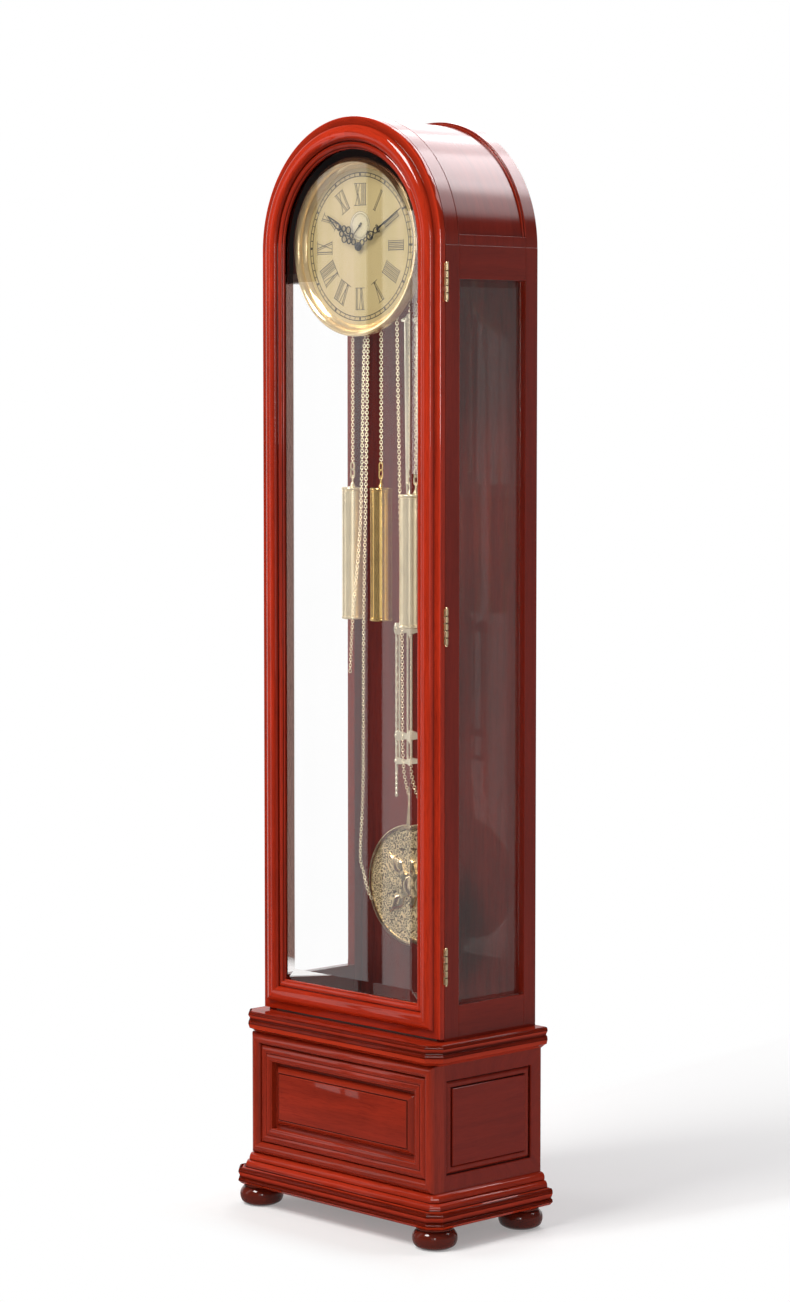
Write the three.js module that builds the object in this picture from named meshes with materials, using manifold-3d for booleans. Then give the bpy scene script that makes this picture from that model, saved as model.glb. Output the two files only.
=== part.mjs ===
// Long-case clock with an arched glass door, three weights and a lattice pendulum.
// Units are millimetres, +Z is up, the front faces -Y. The origin lies on the floor, under the
// middle of the plinth.
import * as THREE from 'three';
import { mergeVertices } from 'three/addons/utils/BufferGeometryUtils.js';
import Module from 'manifold-3d';

const wasm = await Module();
wasm.setup();

// ---------- driving dimensions ----------
const clockHeight = 2000;
const clearance = 0.3;          // between curved or turning pieces that touch

// feet
const footRadius = 40.5;
const footHeight = 39;
const footInset = 41.5;         // foot axis to the edges of the plinth

// plinth and base box
const plinthDepth = 300;
const plinthHeight = 58;
const plinthChamfer = 22;
const plinthSideReach = 31;     // plinth edge to the side of the base box
const plinthFrontReach = 32.5;  // plinth edge to the front of the base box
const baseHeight = 228;
const baseBoardThickness = 20;
const baseBackThickness = 12;
const frontMemberThickness = 22;
const frontMemberWidth = 51;
const frontRebateWidth = 8;
const panelTongue = 8;          // flat border seen between the frame and the raised field's bevel
const panelThickness = 10.7;    // at the tongue, behind the border
const panelBevelWidth = 11;
const panelRaise = 12;
const sideRecessMarginY = 5;    // base side recess to the front edge of the side board
const sideRecessRearMargin = 24;
const sideRecessMarginZ = 28;
const sideRecessWidth = 17;
const sideRecessDepth = 5;

// surbase, the moulded slab between base and trunk
const surbaseHeight = 39.5;
const surbaseSideReach = 16.8;
const surbaseFrontReach = 20.5;
const surbaseChamfer = 23.6;

// trunk
const caseWidth = 466;          // also the diameter of the arch
const caseSideSetback = 8.5;    // side of the trunk to the side of the base box
const caseFrontSetback = 30.8;  // front of the trunk to the front of the base box
const caseBackSetback = 6;      // back of the trunk to the back of the plinth
const caseWall = 20;
const caseBackThickness = 12;
const caseFloorThickness = 18;
const frontStileWidth = 35.2;
const rearStileWidth = 30.3;
const bottomRailHeight = 61.5;
const topRailHeight = 59;
const glassThickness = 4;
const glassLap = 8;             // how far a pane reaches behind its frame
const glassLipThickness = 10.7; // frame wood outside the side panes

// hood
const hoodBandProud = 6;
const hoodRailHeight = 18;
const hoodRearBandWidth = 33;

// door
const doorGap = 1;
const doorRise = 5;             // door bottom above the surbase
const doorMemberWidth = 58;
const doorRebateWidth = 9;
const doorThickness = 11.3;     // from the back of the door to its outer ledge
const doorTorusProud = 11;      // main ridge in front of the ledge
const doorPaneDepth = 8;        // back of the pane behind the ledge
const hingeHeight = 64;
const hingeBarrelRadius = 4;
const hingePinRadius = 1.8;
const hingeLeafWidth = 15;
const hingeLeafThickness = 2.2;
const hingeFinialHeight = 3;
const lowerHingeRise = 134.5;   // lower hinge's middle above the trunk's bottom
const upperHingeDrop = 65;      // upper hinge's middle below the springing of the arch
const catchHeight = 40;
const catchWidth = 10;
const catchDepth = 17;
const catchGap = 1;             // catch to the inner face of the stile beside it

// dial and hands
const dialRise = 3;             // dial centre above the springing of the arch
const bezelRadius = 160;
const bezelWidth = 20.5;
const bezelHeight = 16;
const dialRadius = 150;
const dialThickness = 2;
const dialSetback = 16.7;       // dial face behind the front of the trunk
const dialHoleRadius = 6.5;
const dialFootRadius = 3;
const dialFootInset = 26;       // dial feet to the edges of the front plate
const secondsRise = 37;
const secondsHoleRadius = 2.6;
const centreArborRadius = 2;
const secondsArborRadius = 1.2;
const minuteHandLength = 129;
const hourHandLength = 100;
const secondsHandLength = 20;
const handThickness = 1.2;
const handGap = 1.3;
const hubProud = 1;             // a hand's hub in front of its blade
const minuteHandAngle = 60;     // degrees clockwise from twelve
const hourHandAngle = 305;
const secondsHandAngle = 225;

// movement
const seatBoardThickness = 18;
const seatBoardMargin = 10;     // seat board behind the back plate
const seatBoardBelowDial = 44;  // top of the seat board below the dial centre
const seatFrontGap = 2;         // seat board behind the dial
const plateWidth = 210;
const plateHeight = 150;
const plateThickness = 3;
const plateSpacing = 74;        // clear distance between the two plates
const plateBehindDial = 9;
const pillarRadius = 6;
const pillarInset = 14;
const pivotRadius = 2.5;
const pivotHoleRadius = 2.9;
const sprocketRadius = 17.25;   // to the middle of the chain
const sprocketRise = 30;        // sprocket axis above the seat board
const sprocketWidth = 11;
const greatWheelRadius = 26;
const greatWheelThickness = 2;
const greatWheelOffset = 19;    // great wheel's middle to the chain's plane
const arborRadius = 4;
const pivotEndGap = 0.5;        // pivot end to the outside of its plate
const chainRadius = 3;
const chainSlotMargin = 3;      // seat board slot around the chain
const suspensionRise = 29;      // suspension point above the seat board

// weights and chains
const weightSpacing = 75.5;
const weightRadius = 20.6;
const weightLength = 241;
const weightDropShare = 0.2888; // seat board to weight, as a share of the way to the trunk's floor
const rightWeightDrop = 10;
const weightHookHeight = 46;
const weightEyeHeight = 28;
const weightEyeHalfWidth = 5.5;
const weightEyeThickness = 3;
const weightConeHeight = 10;
const tailSpread = 34.5;        // weight strand to free strand
const tailLean = 31;            // how far a free end leans out of its wheel's line

// chime
const chimeRise = 30;           // chime block above the seat board
const chimeBlockWidth = 120;
const chimeBlockHeight = 25;
const chimeBlockDepth = 30;
const chimeRodRadius = 2;
const chimeRodCount = 8;
const chimeRodLength = 170;
const chimeRodStep = 6;

// pendulum; a share is of the length from the suspension point to the middle of the bob
const pendulumBehindPlate = 37; // pendulum plane behind the back plate
const bracketHalfWidth = 9;
const bracketHeight = 12;
const bracketReach = 8;         // bracket behind the pendulum's plane
const headerTopShare = 0.0878;
const headerHeight = 16;
const headerHalfWidth = 24;
const headerHalfDepth = 4;
const bladeFootShare = 0.3583;
const bladeTopWidth = 16;
const bladeFootWidth = 7;
const bladeSpacing = 22;
const bladeThickness = 3;
const bladeParallelLength = 40; // below the header, before the blades start to narrow
const leaderRodRadius = 2.5;
const bowTieShare = 0.574;      // top of the bow-tie bar
const bowTieHeight = 36;
const bowTieHalfWidth = 45;
const upperBarShare = 0.748;
const upperBarHeight = 30;
const lowerBarShare = 0.793;
const lowerBarHeight = 20;
const barHalfWidth = 43;
const barThickness = 6;
const outerRodOffset = 39;
const innerRodOffset = 31;
const nearRodOffset = 9.5;
const thickRodRadius = 3;
const thinRodRadius = 2.2;
const outerRodDrop = 57;        // outer rods below the lower bar
const spadeGap = 34;            // lower bar to the spade-shaped neck of the bob
const spadeThickness = 5;
const spadeHalfWidths = [5, 9, 14]; // at its top, waist and foot
const bobRadius = 112.5;
const bobFloorGap = 110;        // bob above the trunk's floor board
const bobThickness = 16;

// ---------- places worked out from the driving dimensions ----------
const rad = (degrees) => degrees * Math.PI / 180;
const backY = plinthDepth / 2;
const caseHalfWidth = caseWidth / 2;
const baseHalfWidth = caseHalfWidth + caseSideSetback;
const plinthHalfWidth = baseHalfWidth + plinthSideReach;
const plinthTopZ = footHeight + plinthHeight;
const baseTopZ = plinthTopZ + baseHeight;
const surbaseTopZ = baseTopZ + surbaseHeight;
const baseFrontY = -plinthDepth / 2 + plinthFrontReach;
const caseInnerHalfWidth = caseHalfWidth - caseWall;
const caseBackY = backY - caseBackSetback;
const caseFrontY = baseFrontY + caseFrontSetback;
const springZ = clockHeight - caseHalfWidth;
const windowFrontY = caseFrontY + frontStileWidth;
const windowRearY = caseBackY - rearStileWidth;
const windowBottomZ = surbaseTopZ + bottomRailHeight;
const windowTopZ = springZ - topRailHeight;
const innerBackY = caseBackY - caseBackThickness;
const floorTopZ = surbaseTopZ + caseFloorThickness;
const doorBackY = caseFrontY - doorGap;
const doorBottomZ = surbaseTopZ + doorRise;
const dialZ = springZ + dialRise;
const dialFaceY = caseFrontY + dialSetback;
const frontPlateY = dialFaceY + dialThickness + plateBehindDial;
const backPlateY = frontPlateY + plateThickness + plateSpacing;
const seatTopZ = dialZ - seatBoardBelowDial;
const sprocketZ = seatTopZ + sprocketRise;
const chainY = frontPlateY + plateThickness + plateSpacing / 2 + 1;
const suspensionZ = seatTopZ + suspensionRise;
const pendulumY = backPlateY + plateThickness + pendulumBehindPlate;
const bobCentreZ = floorTopZ + bobFloorGap + bobRadius;
const pendulumLength = suspensionZ - bobCentreZ;
const headerTopZ = suspensionZ - headerTopShare * pendulumLength;
const headerBottomZ = headerTopZ - headerHeight;
const bladeFootZ = suspensionZ - bladeFootShare * pendulumLength;
const bowTieTopZ = suspensionZ - bowTieShare * pendulumLength;
const upperBarTopZ = suspensionZ - upperBarShare * pendulumLength;
const lowerBarTopZ = suspensionZ - lowerBarShare * pendulumLength;
const spadeTopZ = lowerBarTopZ - lowerBarHeight - spadeGap;
// heights inside the trunk, as a share of the way down from the seat board to the floor board
const downTrunk = (share) => seatTopZ - share * (seatTopZ - floorTopZ);
const weightTopZ = downTrunk(weightDropShare);

// ---------- materials ----------
const finish = (color, roughness, metalness = 0) => () =>
  new THREE.MeshStandardMaterial({ color, roughness, metalness });
const redWood = finish(0x8c2413, 0.22);
const darkWood = finish(0x57160f, 0.35);
const polishedBrass = finish(0xd9b45a, 0.16, 1);
const paleBrass = finish(0xdccb94, 0.22, 1);
const dialGold = finish(0xd8c78c, 0.38, 1);
const blackSteel = finish(0x15120f, 0.3, 0.6);
const clearGlass = finish(0xdfe6e6, 0.03);
const movementBrass = finish(0xb9963f, 0.35, 1);

const clock = new THREE.Group();
clock.name = 'longcase_clock';

function add(name, geometry, material) {
  const mesh = new THREE.Mesh(geometry, material());
  mesh.name = name;
  clock.add(mesh);
  return mesh;
}

// ---------- geometry helpers ----------
const P = (x, y, z) => new THREE.Vector3(x, y, z);

// A closed solid through rings of points, one after another; the end rings are flat and capped.
function loft(rings) {
  const count = rings[0].length;
  const positions = rings.flatMap((ring) => ring.flatMap((p) => [p.x, p.y, p.z]));
  const index = [];
  for (let k = 0; k + 1 < rings.length; k++) {
    for (let i = 0; i < count; i++) {
      const a = k * count + i;
      const b = k * count + (i + 1) % count;
      index.push(a, b, b + count, a, b + count, a + count);
    }
  }
  const last = (rings.length - 1) * count;
  for (const [a, b, c] of capTriangles(rings[0])) index.push(a, c, b);
  for (const [a, b, c] of capTriangles(rings[rings.length - 1])) index.push(last + a, last + b, last + c);
  const geometry = new THREE.BufferGeometry();
  geometry.setAttribute('position', new THREE.Float32BufferAttribute(positions, 3));
  geometry.setIndex(index);
  return facingOut(geometry);
}

// Triangles of a flat ring, wound the way the ring runs.
function capTriangles(ring) {
  const normal = P(0, 0, 0);
  ring.forEach((p, i) => normal.add(p.clone().cross(ring[(i + 1) % ring.length])));
  normal.normalize();
  const across = Math.abs(normal.z) < 0.9 ? P(0, 0, 1) : P(1, 0, 0);
  const u = across.cross(normal).normalize();
  const v = normal.clone().cross(u);
  const flat = ring.map((p) => new THREE.Vector2(p.dot(u), p.dot(v)));
  return THREE.ShapeUtils.triangulateShape(flat, []);
}

function signedVolume(geometry) {
  const position = geometry.attributes.position;
  const index = geometry.index.array;
  const corner = (i) => P(0, 0, 0).fromBufferAttribute(position, index[i]);
  let volume = 0;
  for (let i = 0; i < index.length; i += 3) volume += corner(i).dot(corner(i + 1).cross(corner(i + 2)));
  return volume / 6;
}

function facingOut(geometry) {
  if (signedVolume(geometry) > 0) return geometry;
  const index = geometry.index.array;
  for (let i = 0; i < index.length; i += 3) [index[i + 1], index[i + 2]] = [index[i + 2], index[i + 1]];
  return geometry;
}

function box(x0, x1, y0, y1, z0, z1) {
  const geometry = new THREE.BoxGeometry(x1 - x0, y1 - y0, z1 - z0);
  return geometry.translate((x0 + x1) / 2, (y0 + y1) / 2, (z0 + z1) / 2);
}

// A cylinder of the given length whose axis starts at a point and runs along 'x', 'y' or 'z'.
function rod(start, axis, length, radius, sides = 12, endRadius = radius) {
  const geometry = new THREE.CylinderGeometry(endRadius, radius, length, sides);
  geometry.translate(0, length / 2, 0);
  if (axis === 'z') geometry.rotateX(Math.PI / 2);
  if (axis === 'x') geometry.rotateZ(-Math.PI / 2);
  return geometry.translate(start.x, start.y, start.z);
}

// Turned about a vertical axis; the profile is [radius, height] from bottom to top.
function turned(profile, sides = 24) {
  const points = profile.map(([r, h]) => new THREE.Vector2(r, h));
  return new THREE.LatheGeometry(points, sides).rotateX(Math.PI / 2);
}

// Turned about the axis that runs along Y; the profile is [radius, y].
function turnedAlongY(profile, sides = 24) {
  const points = profile.map(([r, y]) => new THREE.Vector2(r, y));
  return new THREE.LatheGeometry(points, sides);
}

// A flat outline in the X-Z plane, given thickness from y0 to y1.
function plate(outline, y0, y1) {
  const ring = (y) => outline.map(([x, z]) => P(x, y, z));
  return loft([ring(y0), ring(y1)]);
}

function toSolid(geometry) {
  const clean = geometry.clone();
  clean.deleteAttribute('normal');
  clean.deleteAttribute('uv');
  const merged = mergeVertices(clean, 1e-4);
  return new wasm.Manifold(new wasm.Mesh({
    numProp: 3,
    vertProperties: new Float32Array(merged.attributes.position.array),
    triVerts: new Uint32Array(merged.index.array),
  }));
}

function toGeometry(solid) {
  const mesh = solid.getMesh();
  const geometry = new THREE.BufferGeometry();
  geometry.setAttribute('position', new THREE.Float32BufferAttribute(mesh.vertProperties, 3));
  geometry.setIndex(Array.from(mesh.triVerts));
  return geometry;
}

function join(...geometries) {
  return toGeometry(geometries.map(toSolid).reduce((whole, piece) => whole.add(piece)));
}

function cut(geometry, ...tools) {
  return toGeometry(tools.map(toSolid).reduce((whole, tool) => whole.subtract(tool), toSolid(geometry)));
}

// Points of an arc in the X-Z plane about [cx, cz], angles in degrees from +X towards +Z.
function arc(cx, cz, radius, from, to, steps) {
  const points = [];
  for (let i = 0; i <= steps; i++) {
    const angle = rad(from + (to - from) * i / steps);
    points.push([cx + radius * Math.cos(angle), cz + radius * Math.sin(angle)]);
  }
  return points;
}

// ---------- moulded slabs ----------
// Half an outline is mirrored: square at the back, cut off at 45 degrees at the two front corners.
function chamferedRing(halfWidth, frontY, rearY, chamfer, z) {
  const c = Math.max(chamfer, 0.5);
  return [
    P(-halfWidth, rearY, z), P(-halfWidth, frontY + c, z), P(-halfWidth + c, frontY, z),
    P(halfWidth - c, frontY, z), P(halfWidth, frontY + c, z), P(halfWidth, rearY, z),
  ];
}

// The profile is [inset, height], both as shares of the moulding's reach and height.
function mouldedSlab(profile, outer, reach, bottomZ, height) {
  const shrink = 2 - Math.SQRT2;
  return loft(profile.map(([inset, rise]) => chamferedRing(
    outer.halfWidth - inset * reach.side,
    outer.frontY + inset * reach.front,
    backY,
    outer.chamfer - shrink * inset * reach.side,
    bottomZ + rise * height,
  )));
}

const plinthProfile = [
  [0.2, 0], [0.05, 0.03], [0, 0.1], [0.05, 0.18], [0.13, 0.21], [0.13, 0.24], [0.03, 0.28],
  [0, 0.38], [0.05, 0.47], [0.2, 0.53], [0.43, 0.54], [0.44, 0.59], [0.49, 0.68], [0.6, 0.74],
  [0.68, 0.77], [0.68, 0.86], [0.74, 0.94], [0.88, 0.99], [0.97, 1],
];
const surbaseProfile = [
  [0.92, 0], [0.78, 0.03], [0.55, 0.12], [0.25, 0.22], [0.04, 0.33], [0, 0.45], [0.05, 0.57],
  [0.2, 0.63], [0.2, 0.67], [0.04, 0.72], [0, 0.84], [0.06, 0.95], [0.3, 1],
];

function addFeet() {
  const profile = [
    [0, 0], [0.68, 0], [0.89, 0.15], [0.99, 0.38], [1, 0.56], [0.92, 0.79], [0.8, 0.9], [0.8, 1], [0, 1],
  ].map(([r, h]) => [r * footRadius, h * footHeight]);
  const footX = plinthHalfWidth - footInset;
  const footY = plinthDepth / 2 - footInset;
  for (const [side, x] of [['left', -footX], ['right', footX]]) {
    for (const [row, y] of [['front', -footY], ['rear', footY]]) {
      add(`foot_${row}_${side}`, turned(profile, 16).translate(x, y, 0), redWood);
    }
  }
}

function addPlinth() {
  const outer = { halfWidth: plinthHalfWidth, frontY: -backY, chamfer: plinthChamfer };
  const reach = { side: plinthSideReach, front: plinthFrontReach };
  add('plinth_moulding', mouldedSlab(plinthProfile, outer, reach, footHeight, plinthHeight), redWood);
}

function addSurbase() {
  const outer = {
    halfWidth: baseHalfWidth + surbaseSideReach,
    frontY: baseFrontY - surbaseFrontReach,
    chamfer: surbaseChamfer,
  };
  const reach = { side: surbaseSideReach, front: surbaseFrontReach };
  add('surbase_moulding', mouldedSlab(surbaseProfile, outer, reach, baseTopZ, surbaseHeight), redWood);
}

// ---------- base box ----------
const beadRadius = 0.21 * frontMemberWidth;
const frontRecessY = baseFrontY + panelRaise - 3.5;
const frontMemberBackY = baseFrontY + frontMemberThickness;

// Section of the base front frame: [distance in from the outer edge, y].
function frontMemberSection() {
  const bead = arc(beadRadius, 0, beadRadius, 180, 0, 6).map(([w, rise]) => [w, baseFrontY - rise]);
  const ridge = [[0.44, 1], [0.49, 3], [0.62, 4.5], [0.76, 4], [0.79, 2], [0.86, 3.5], [0.97, 3.5], [1, 2.5]];
  const inner = frontMemberWidth - frontRebateWidth;
  return [
    [0, frontMemberBackY],
    ...bead,
    ...ridge.map(([share, rise]) => [share * frontMemberWidth, baseFrontY - rise]),
    [frontMemberWidth, frontRecessY], [inner, frontRecessY], [inner, frontMemberBackY],
  ];
}

// A straight frame member between two 45 degree mitres. place(along, across, y) gives the point.
function mitredMember(section, length, place) {
  const start = section.map(([w, y]) => place(w, w, y));
  const end = section.map(([w, y]) => place(length - w, w, y));
  return loft([start, end]);
}

function addBaseFront() {
  const section = frontMemberSection();
  const width = 2 * baseHalfWidth;
  const members = {
    base_front_rail_top: [width, (s, w, y) => P(s - baseHalfWidth, y, baseTopZ - w)],
    base_front_rail_bottom: [width, (s, w, y) => P(s - baseHalfWidth, y, plinthTopZ + w)],
    base_front_stile_left: [baseHeight, (s, w, y) => P(w - baseHalfWidth, y, plinthTopZ + s)],
    base_front_stile_right: [baseHeight, (s, w, y) => P(baseHalfWidth - w, y, plinthTopZ + s)],
  };
  for (const [name, [length, place]] of Object.entries(members)) {
    add(name, mitredMember(section, length, place), redWood);
  }
  addBaseFrontPanel();
}

function rectangleRing(inset, y) {
  const x = baseHalfWidth - inset;
  const low = plinthTopZ + inset;
  const high = baseTopZ - inset;
  return [P(-x, y, low), P(x, y, low), P(x, y, high), P(-x, y, high)];
}

function addBaseFrontPanel() {
  const edge = frontMemberWidth - frontRebateWidth + clearance;
  const bevelStart = frontMemberWidth + panelTongue;
  const tongueY = frontRecessY + clearance;
  add('base_front_panel', loft([
    rectangleRing(edge, tongueY + panelThickness),
    rectangleRing(edge, tongueY),
    rectangleRing(bevelStart, tongueY),
    rectangleRing(bevelStart + panelBevelWidth, tongueY - panelRaise),
  ]), redWood);
}

function addBaseSides() {
  const inner = baseHalfWidth - baseBoardThickness;
  const y0 = frontMemberBackY + sideRecessMarginY;
  const y1 = backY - sideRecessRearMargin;
  const z0 = plinthTopZ + sideRecessMarginZ;
  const z1 = baseTopZ - sideRecessMarginZ;
  const w = sideRecessWidth;
  const floor = baseHalfWidth - sideRecessDepth;
  const outside = baseHalfWidth + 1;
  const board = cut(
    box(inner, baseHalfWidth, frontMemberBackY, backY, plinthTopZ, baseTopZ),
    box(floor, outside, y0, y1, z0, z0 + w),
    box(floor, outside, y0, y1, z1 - w, z1),
    box(floor, outside, y0, y0 + w, z0, z1),
    box(floor, outside, y1 - w, y1, z0, z1),
  );
  add('base_side_right', board, redWood);
  add('base_side_left', mirrored(board), redWood);
  const backFront = backY - baseBackThickness;
  add('base_back_board', box(-inner, inner, backFront, backY, plinthTopZ, baseTopZ), darkWood);
}

function mirrored(geometry) {
  const copy = geometry.clone().scale(-1, 1, 1);
  if (!copy.index) copy.setIndex([...Array(copy.attributes.position.count).keys()]);
  return facingOut(copy);
}

// ---------- trunk ----------
const paneOuterX = caseHalfWidth - glassLipThickness;
const paneInnerX = paneOuterX - glassThickness - 2 * clearance;
const paneBottomZ = windowBottomZ - glassLap;
const paneTopZ = windowTopZ + glassLap;

function hingeMortise(frontY, rearY, z) {
  const half = hingeHeight / 2 + clearance;
  const inner = caseHalfWidth - hingeLeafWidth - clearance;
  return box(inner, caseHalfWidth + 1, frontY, rearY, z - half, z + half);
}
const lowerHingeZ = surbaseTopZ + lowerHingeRise;
const upperHingeZ = springZ - upperHingeDrop;
const hingeZs = [lowerHingeZ, (lowerHingeZ + upperHingeZ) / 2, upperHingeZ];
const hingeAxisX = caseHalfWidth + hingeBarrelRadius + 0.4;
const hingeAxisY = caseFrontY - doorGap / 2;

function addSideFrames() {
  const rebate = (y0, y1) => box(
    caseInnerHalfWidth - 1, paneOuterX, y0, y1, paneBottomZ - clearance, paneTopZ + clearance);
  const front = cut(
    box(caseInnerHalfWidth, caseHalfWidth, caseFrontY, windowFrontY, surbaseTopZ, springZ),
    rebate(windowFrontY - glassLap - clearance, windowFrontY + 1));
  const rear = cut(
    box(caseInnerHalfWidth, caseHalfWidth, windowRearY, caseBackY, surbaseTopZ, springZ),
    rebate(windowRearY - 1, windowRearY + glassLap + clearance));
  const rail = (z0, z1) => cut(
    box(caseInnerHalfWidth, caseHalfWidth, windowFrontY, windowRearY, z0, z1),
    rebate(windowFrontY - 1, windowRearY + 1));
  const leafDepth = hingeLeafThickness + clearance;
  const mortises = hingeZs.map((z) => hingeMortise(caseFrontY - 1, caseFrontY + leafDepth, z));
  const pieces = {
    front_stile: front,
    rear_stile: rear,
    bottom_rail: rail(surbaseTopZ, windowBottomZ),
    top_rail: rail(windowTopZ, springZ),
  };
  for (const [name, geometry] of Object.entries(pieces)) {
    const right = name === 'front_stile' ? cut(geometry, ...mortises) : geometry;
    add(`case_${name}_right`, right, redWood);
    add(`case_${name}_left`, mirrored(geometry), redWood);
  }
  const pane = box(
    paneInnerX + clearance, paneOuterX - clearance,
    windowFrontY - glassLap, windowRearY + glassLap, paneBottomZ, paneTopZ);
  add('side_glass_right', pane, clearGlass);
  add('side_glass_left', mirrored(pane), clearGlass);
}

// Angles at which the hood's rings stand, with one at the top of each bottom rail.
const hoodRailAngle = Math.asin(hoodRailHeight / caseHalfWidth) * 180 / Math.PI;
const hoodSteps = 24;
const hoodAngles = [...Array(hoodSteps + 1).keys()].map((i) => 180 * i / hoodSteps)
  .filter((a) => Math.abs(a - hoodRailAngle) > 0.5 && Math.abs(180 - a - hoodRailAngle) > 0.5)
  .concat(hoodRailAngle, 180 - hoodRailAngle)
  .sort((a, b) => a - b);

function addCaseBoards() {
  const inner = caseInnerHalfWidth;
  add('case_floor_board', box(-inner, inner, caseFrontY, innerBackY, surbaseTopZ, floorTopZ), darkWood);
  const under = inner - clearance;
  const crown = hoodAngles.map((a) => [under * Math.cos(rad(a)), springZ + under * Math.sin(rad(a))]);
  const outline = [[-inner, surbaseTopZ], [inner, surbaseTopZ], ...crown];
  add('case_back_board', plate(outline, innerBackY, caseBackY), darkWood);
}

// A half ring about the arch's centre, its section [radius, y] turned from one angle to another.
function archRing(section, from, to, steps) {
  const rings = [];
  for (let i = 0; i <= steps; i++) {
    const angle = rad(from + (to - from) * i / steps);
    rings.push(section.map(([r, y]) => P(r * Math.cos(angle), y, springZ + r * Math.sin(angle))));
  }
  return loft(rings);
}

function addHood() {
  const inner = caseInnerHalfWidth;
  const outer = caseHalfWidth;
  const panelOuter = outer - hoodBandProud;
  const rectangle = (r0, r1, y0, y1) => [[r0, y0], [r1, y0], [r1, y1], [r0, y1]];
  const ring = (r0, r1, y0, y1, list) => loft(list.map((angle) => rectangle(r0, r1, y0, y1)
    .map(([r, y]) => P(r * Math.cos(rad(angle)), y, springZ + r * Math.sin(rad(angle))))));
  const rearBandY = caseBackY - hoodRearBandWidth;
  const right = hoodAngles.filter((a) => a <= hoodRailAngle);
  const left = hoodAngles.filter((a) => a >= 180 - hoodRailAngle);
  add('hood_barrel', join(
    ring(inner, panelOuter, caseFrontY, caseBackY, hoodAngles),
    ring(inner, outer, caseFrontY, windowFrontY, hoodAngles),
    ring(inner, outer, rearBandY, caseBackY, hoodAngles),
    ring(inner, outer, windowFrontY - 1, rearBandY + 1, right),
    ring(inner, outer, windowFrontY - 1, rearBandY + 1, left),
  ), redWood);
}

// ---------- door ----------
const archSteps = 20;
const doorLedgeY = doorBackY - doorThickness;
const doorPaneBackY = doorLedgeY + doorPaneDepth;
const doorPaneFrontY = doorPaneBackY - glassThickness;
const doorRebateY = doorPaneFrontY - clearance / 2;

function doorSection() {
  const t = doorTorusProud;
  const inner = doorMemberWidth - doorRebateWidth;
  const shaped = [
    [0, 0], [0.035, 0.1], [0.26, 0.06], [0.28, 0.5], [0.34, 0.82], [0.47, 1], [0.62, 0.88],
    [0.71, 0.5], [0.75, 0.16], [0.84, 0.34], [0.92, 0.3], [1, 0.02],
  ].map(([share, rise]) => [share * doorMemberWidth, doorLedgeY - rise * t]);
  shaped[0][1] = doorLedgeY + 2;
  return [
    [0, doorBackY], ...shaped,
    [doorMemberWidth, doorRebateY], [inner, doorRebateY], [inner, doorBackY],
  ];
}

function addDoorFrame() {
  const section = doorSection();
  const upright = (side) => loft([
    section.map(([w, y]) => P(side * (caseHalfWidth - w), y, doorBottomZ + w)),
    section.map(([w, y]) => P(side * (caseHalfWidth - w), y, springZ)),
  ]);
  const leafDepth = hingeLeafThickness + clearance;
  const mortises = hingeZs.map((z) => hingeMortise(doorBackY - leafDepth, doorBackY + 1, z));
  add('door_stile_left', upright(-1), redWood);
  add('door_stile_right', cut(upright(1), ...mortises), redWood);
  add('door_rail_bottom', mitredMember(section, caseWidth,
    (s, w, y) => P(s - caseHalfWidth, y, doorBottomZ + w)), redWood);
  add('door_arch', archRing(section.map(([w, y]) => [caseHalfWidth - w, y]), 0, 180, archSteps), redWood);
  const paneInset = doorMemberWidth - doorRebateWidth + clearance;
  const paneHalf = caseHalfWidth - paneInset;
  const outline = [
    [-paneHalf, doorBottomZ + paneInset], [paneHalf, doorBottomZ + paneInset],
    ...arc(0, springZ, paneHalf, 0, 180, archSteps),
  ];
  add('door_glass', plate(outline, doorPaneFrontY, doorPaneBackY), clearGlass);
}

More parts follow.
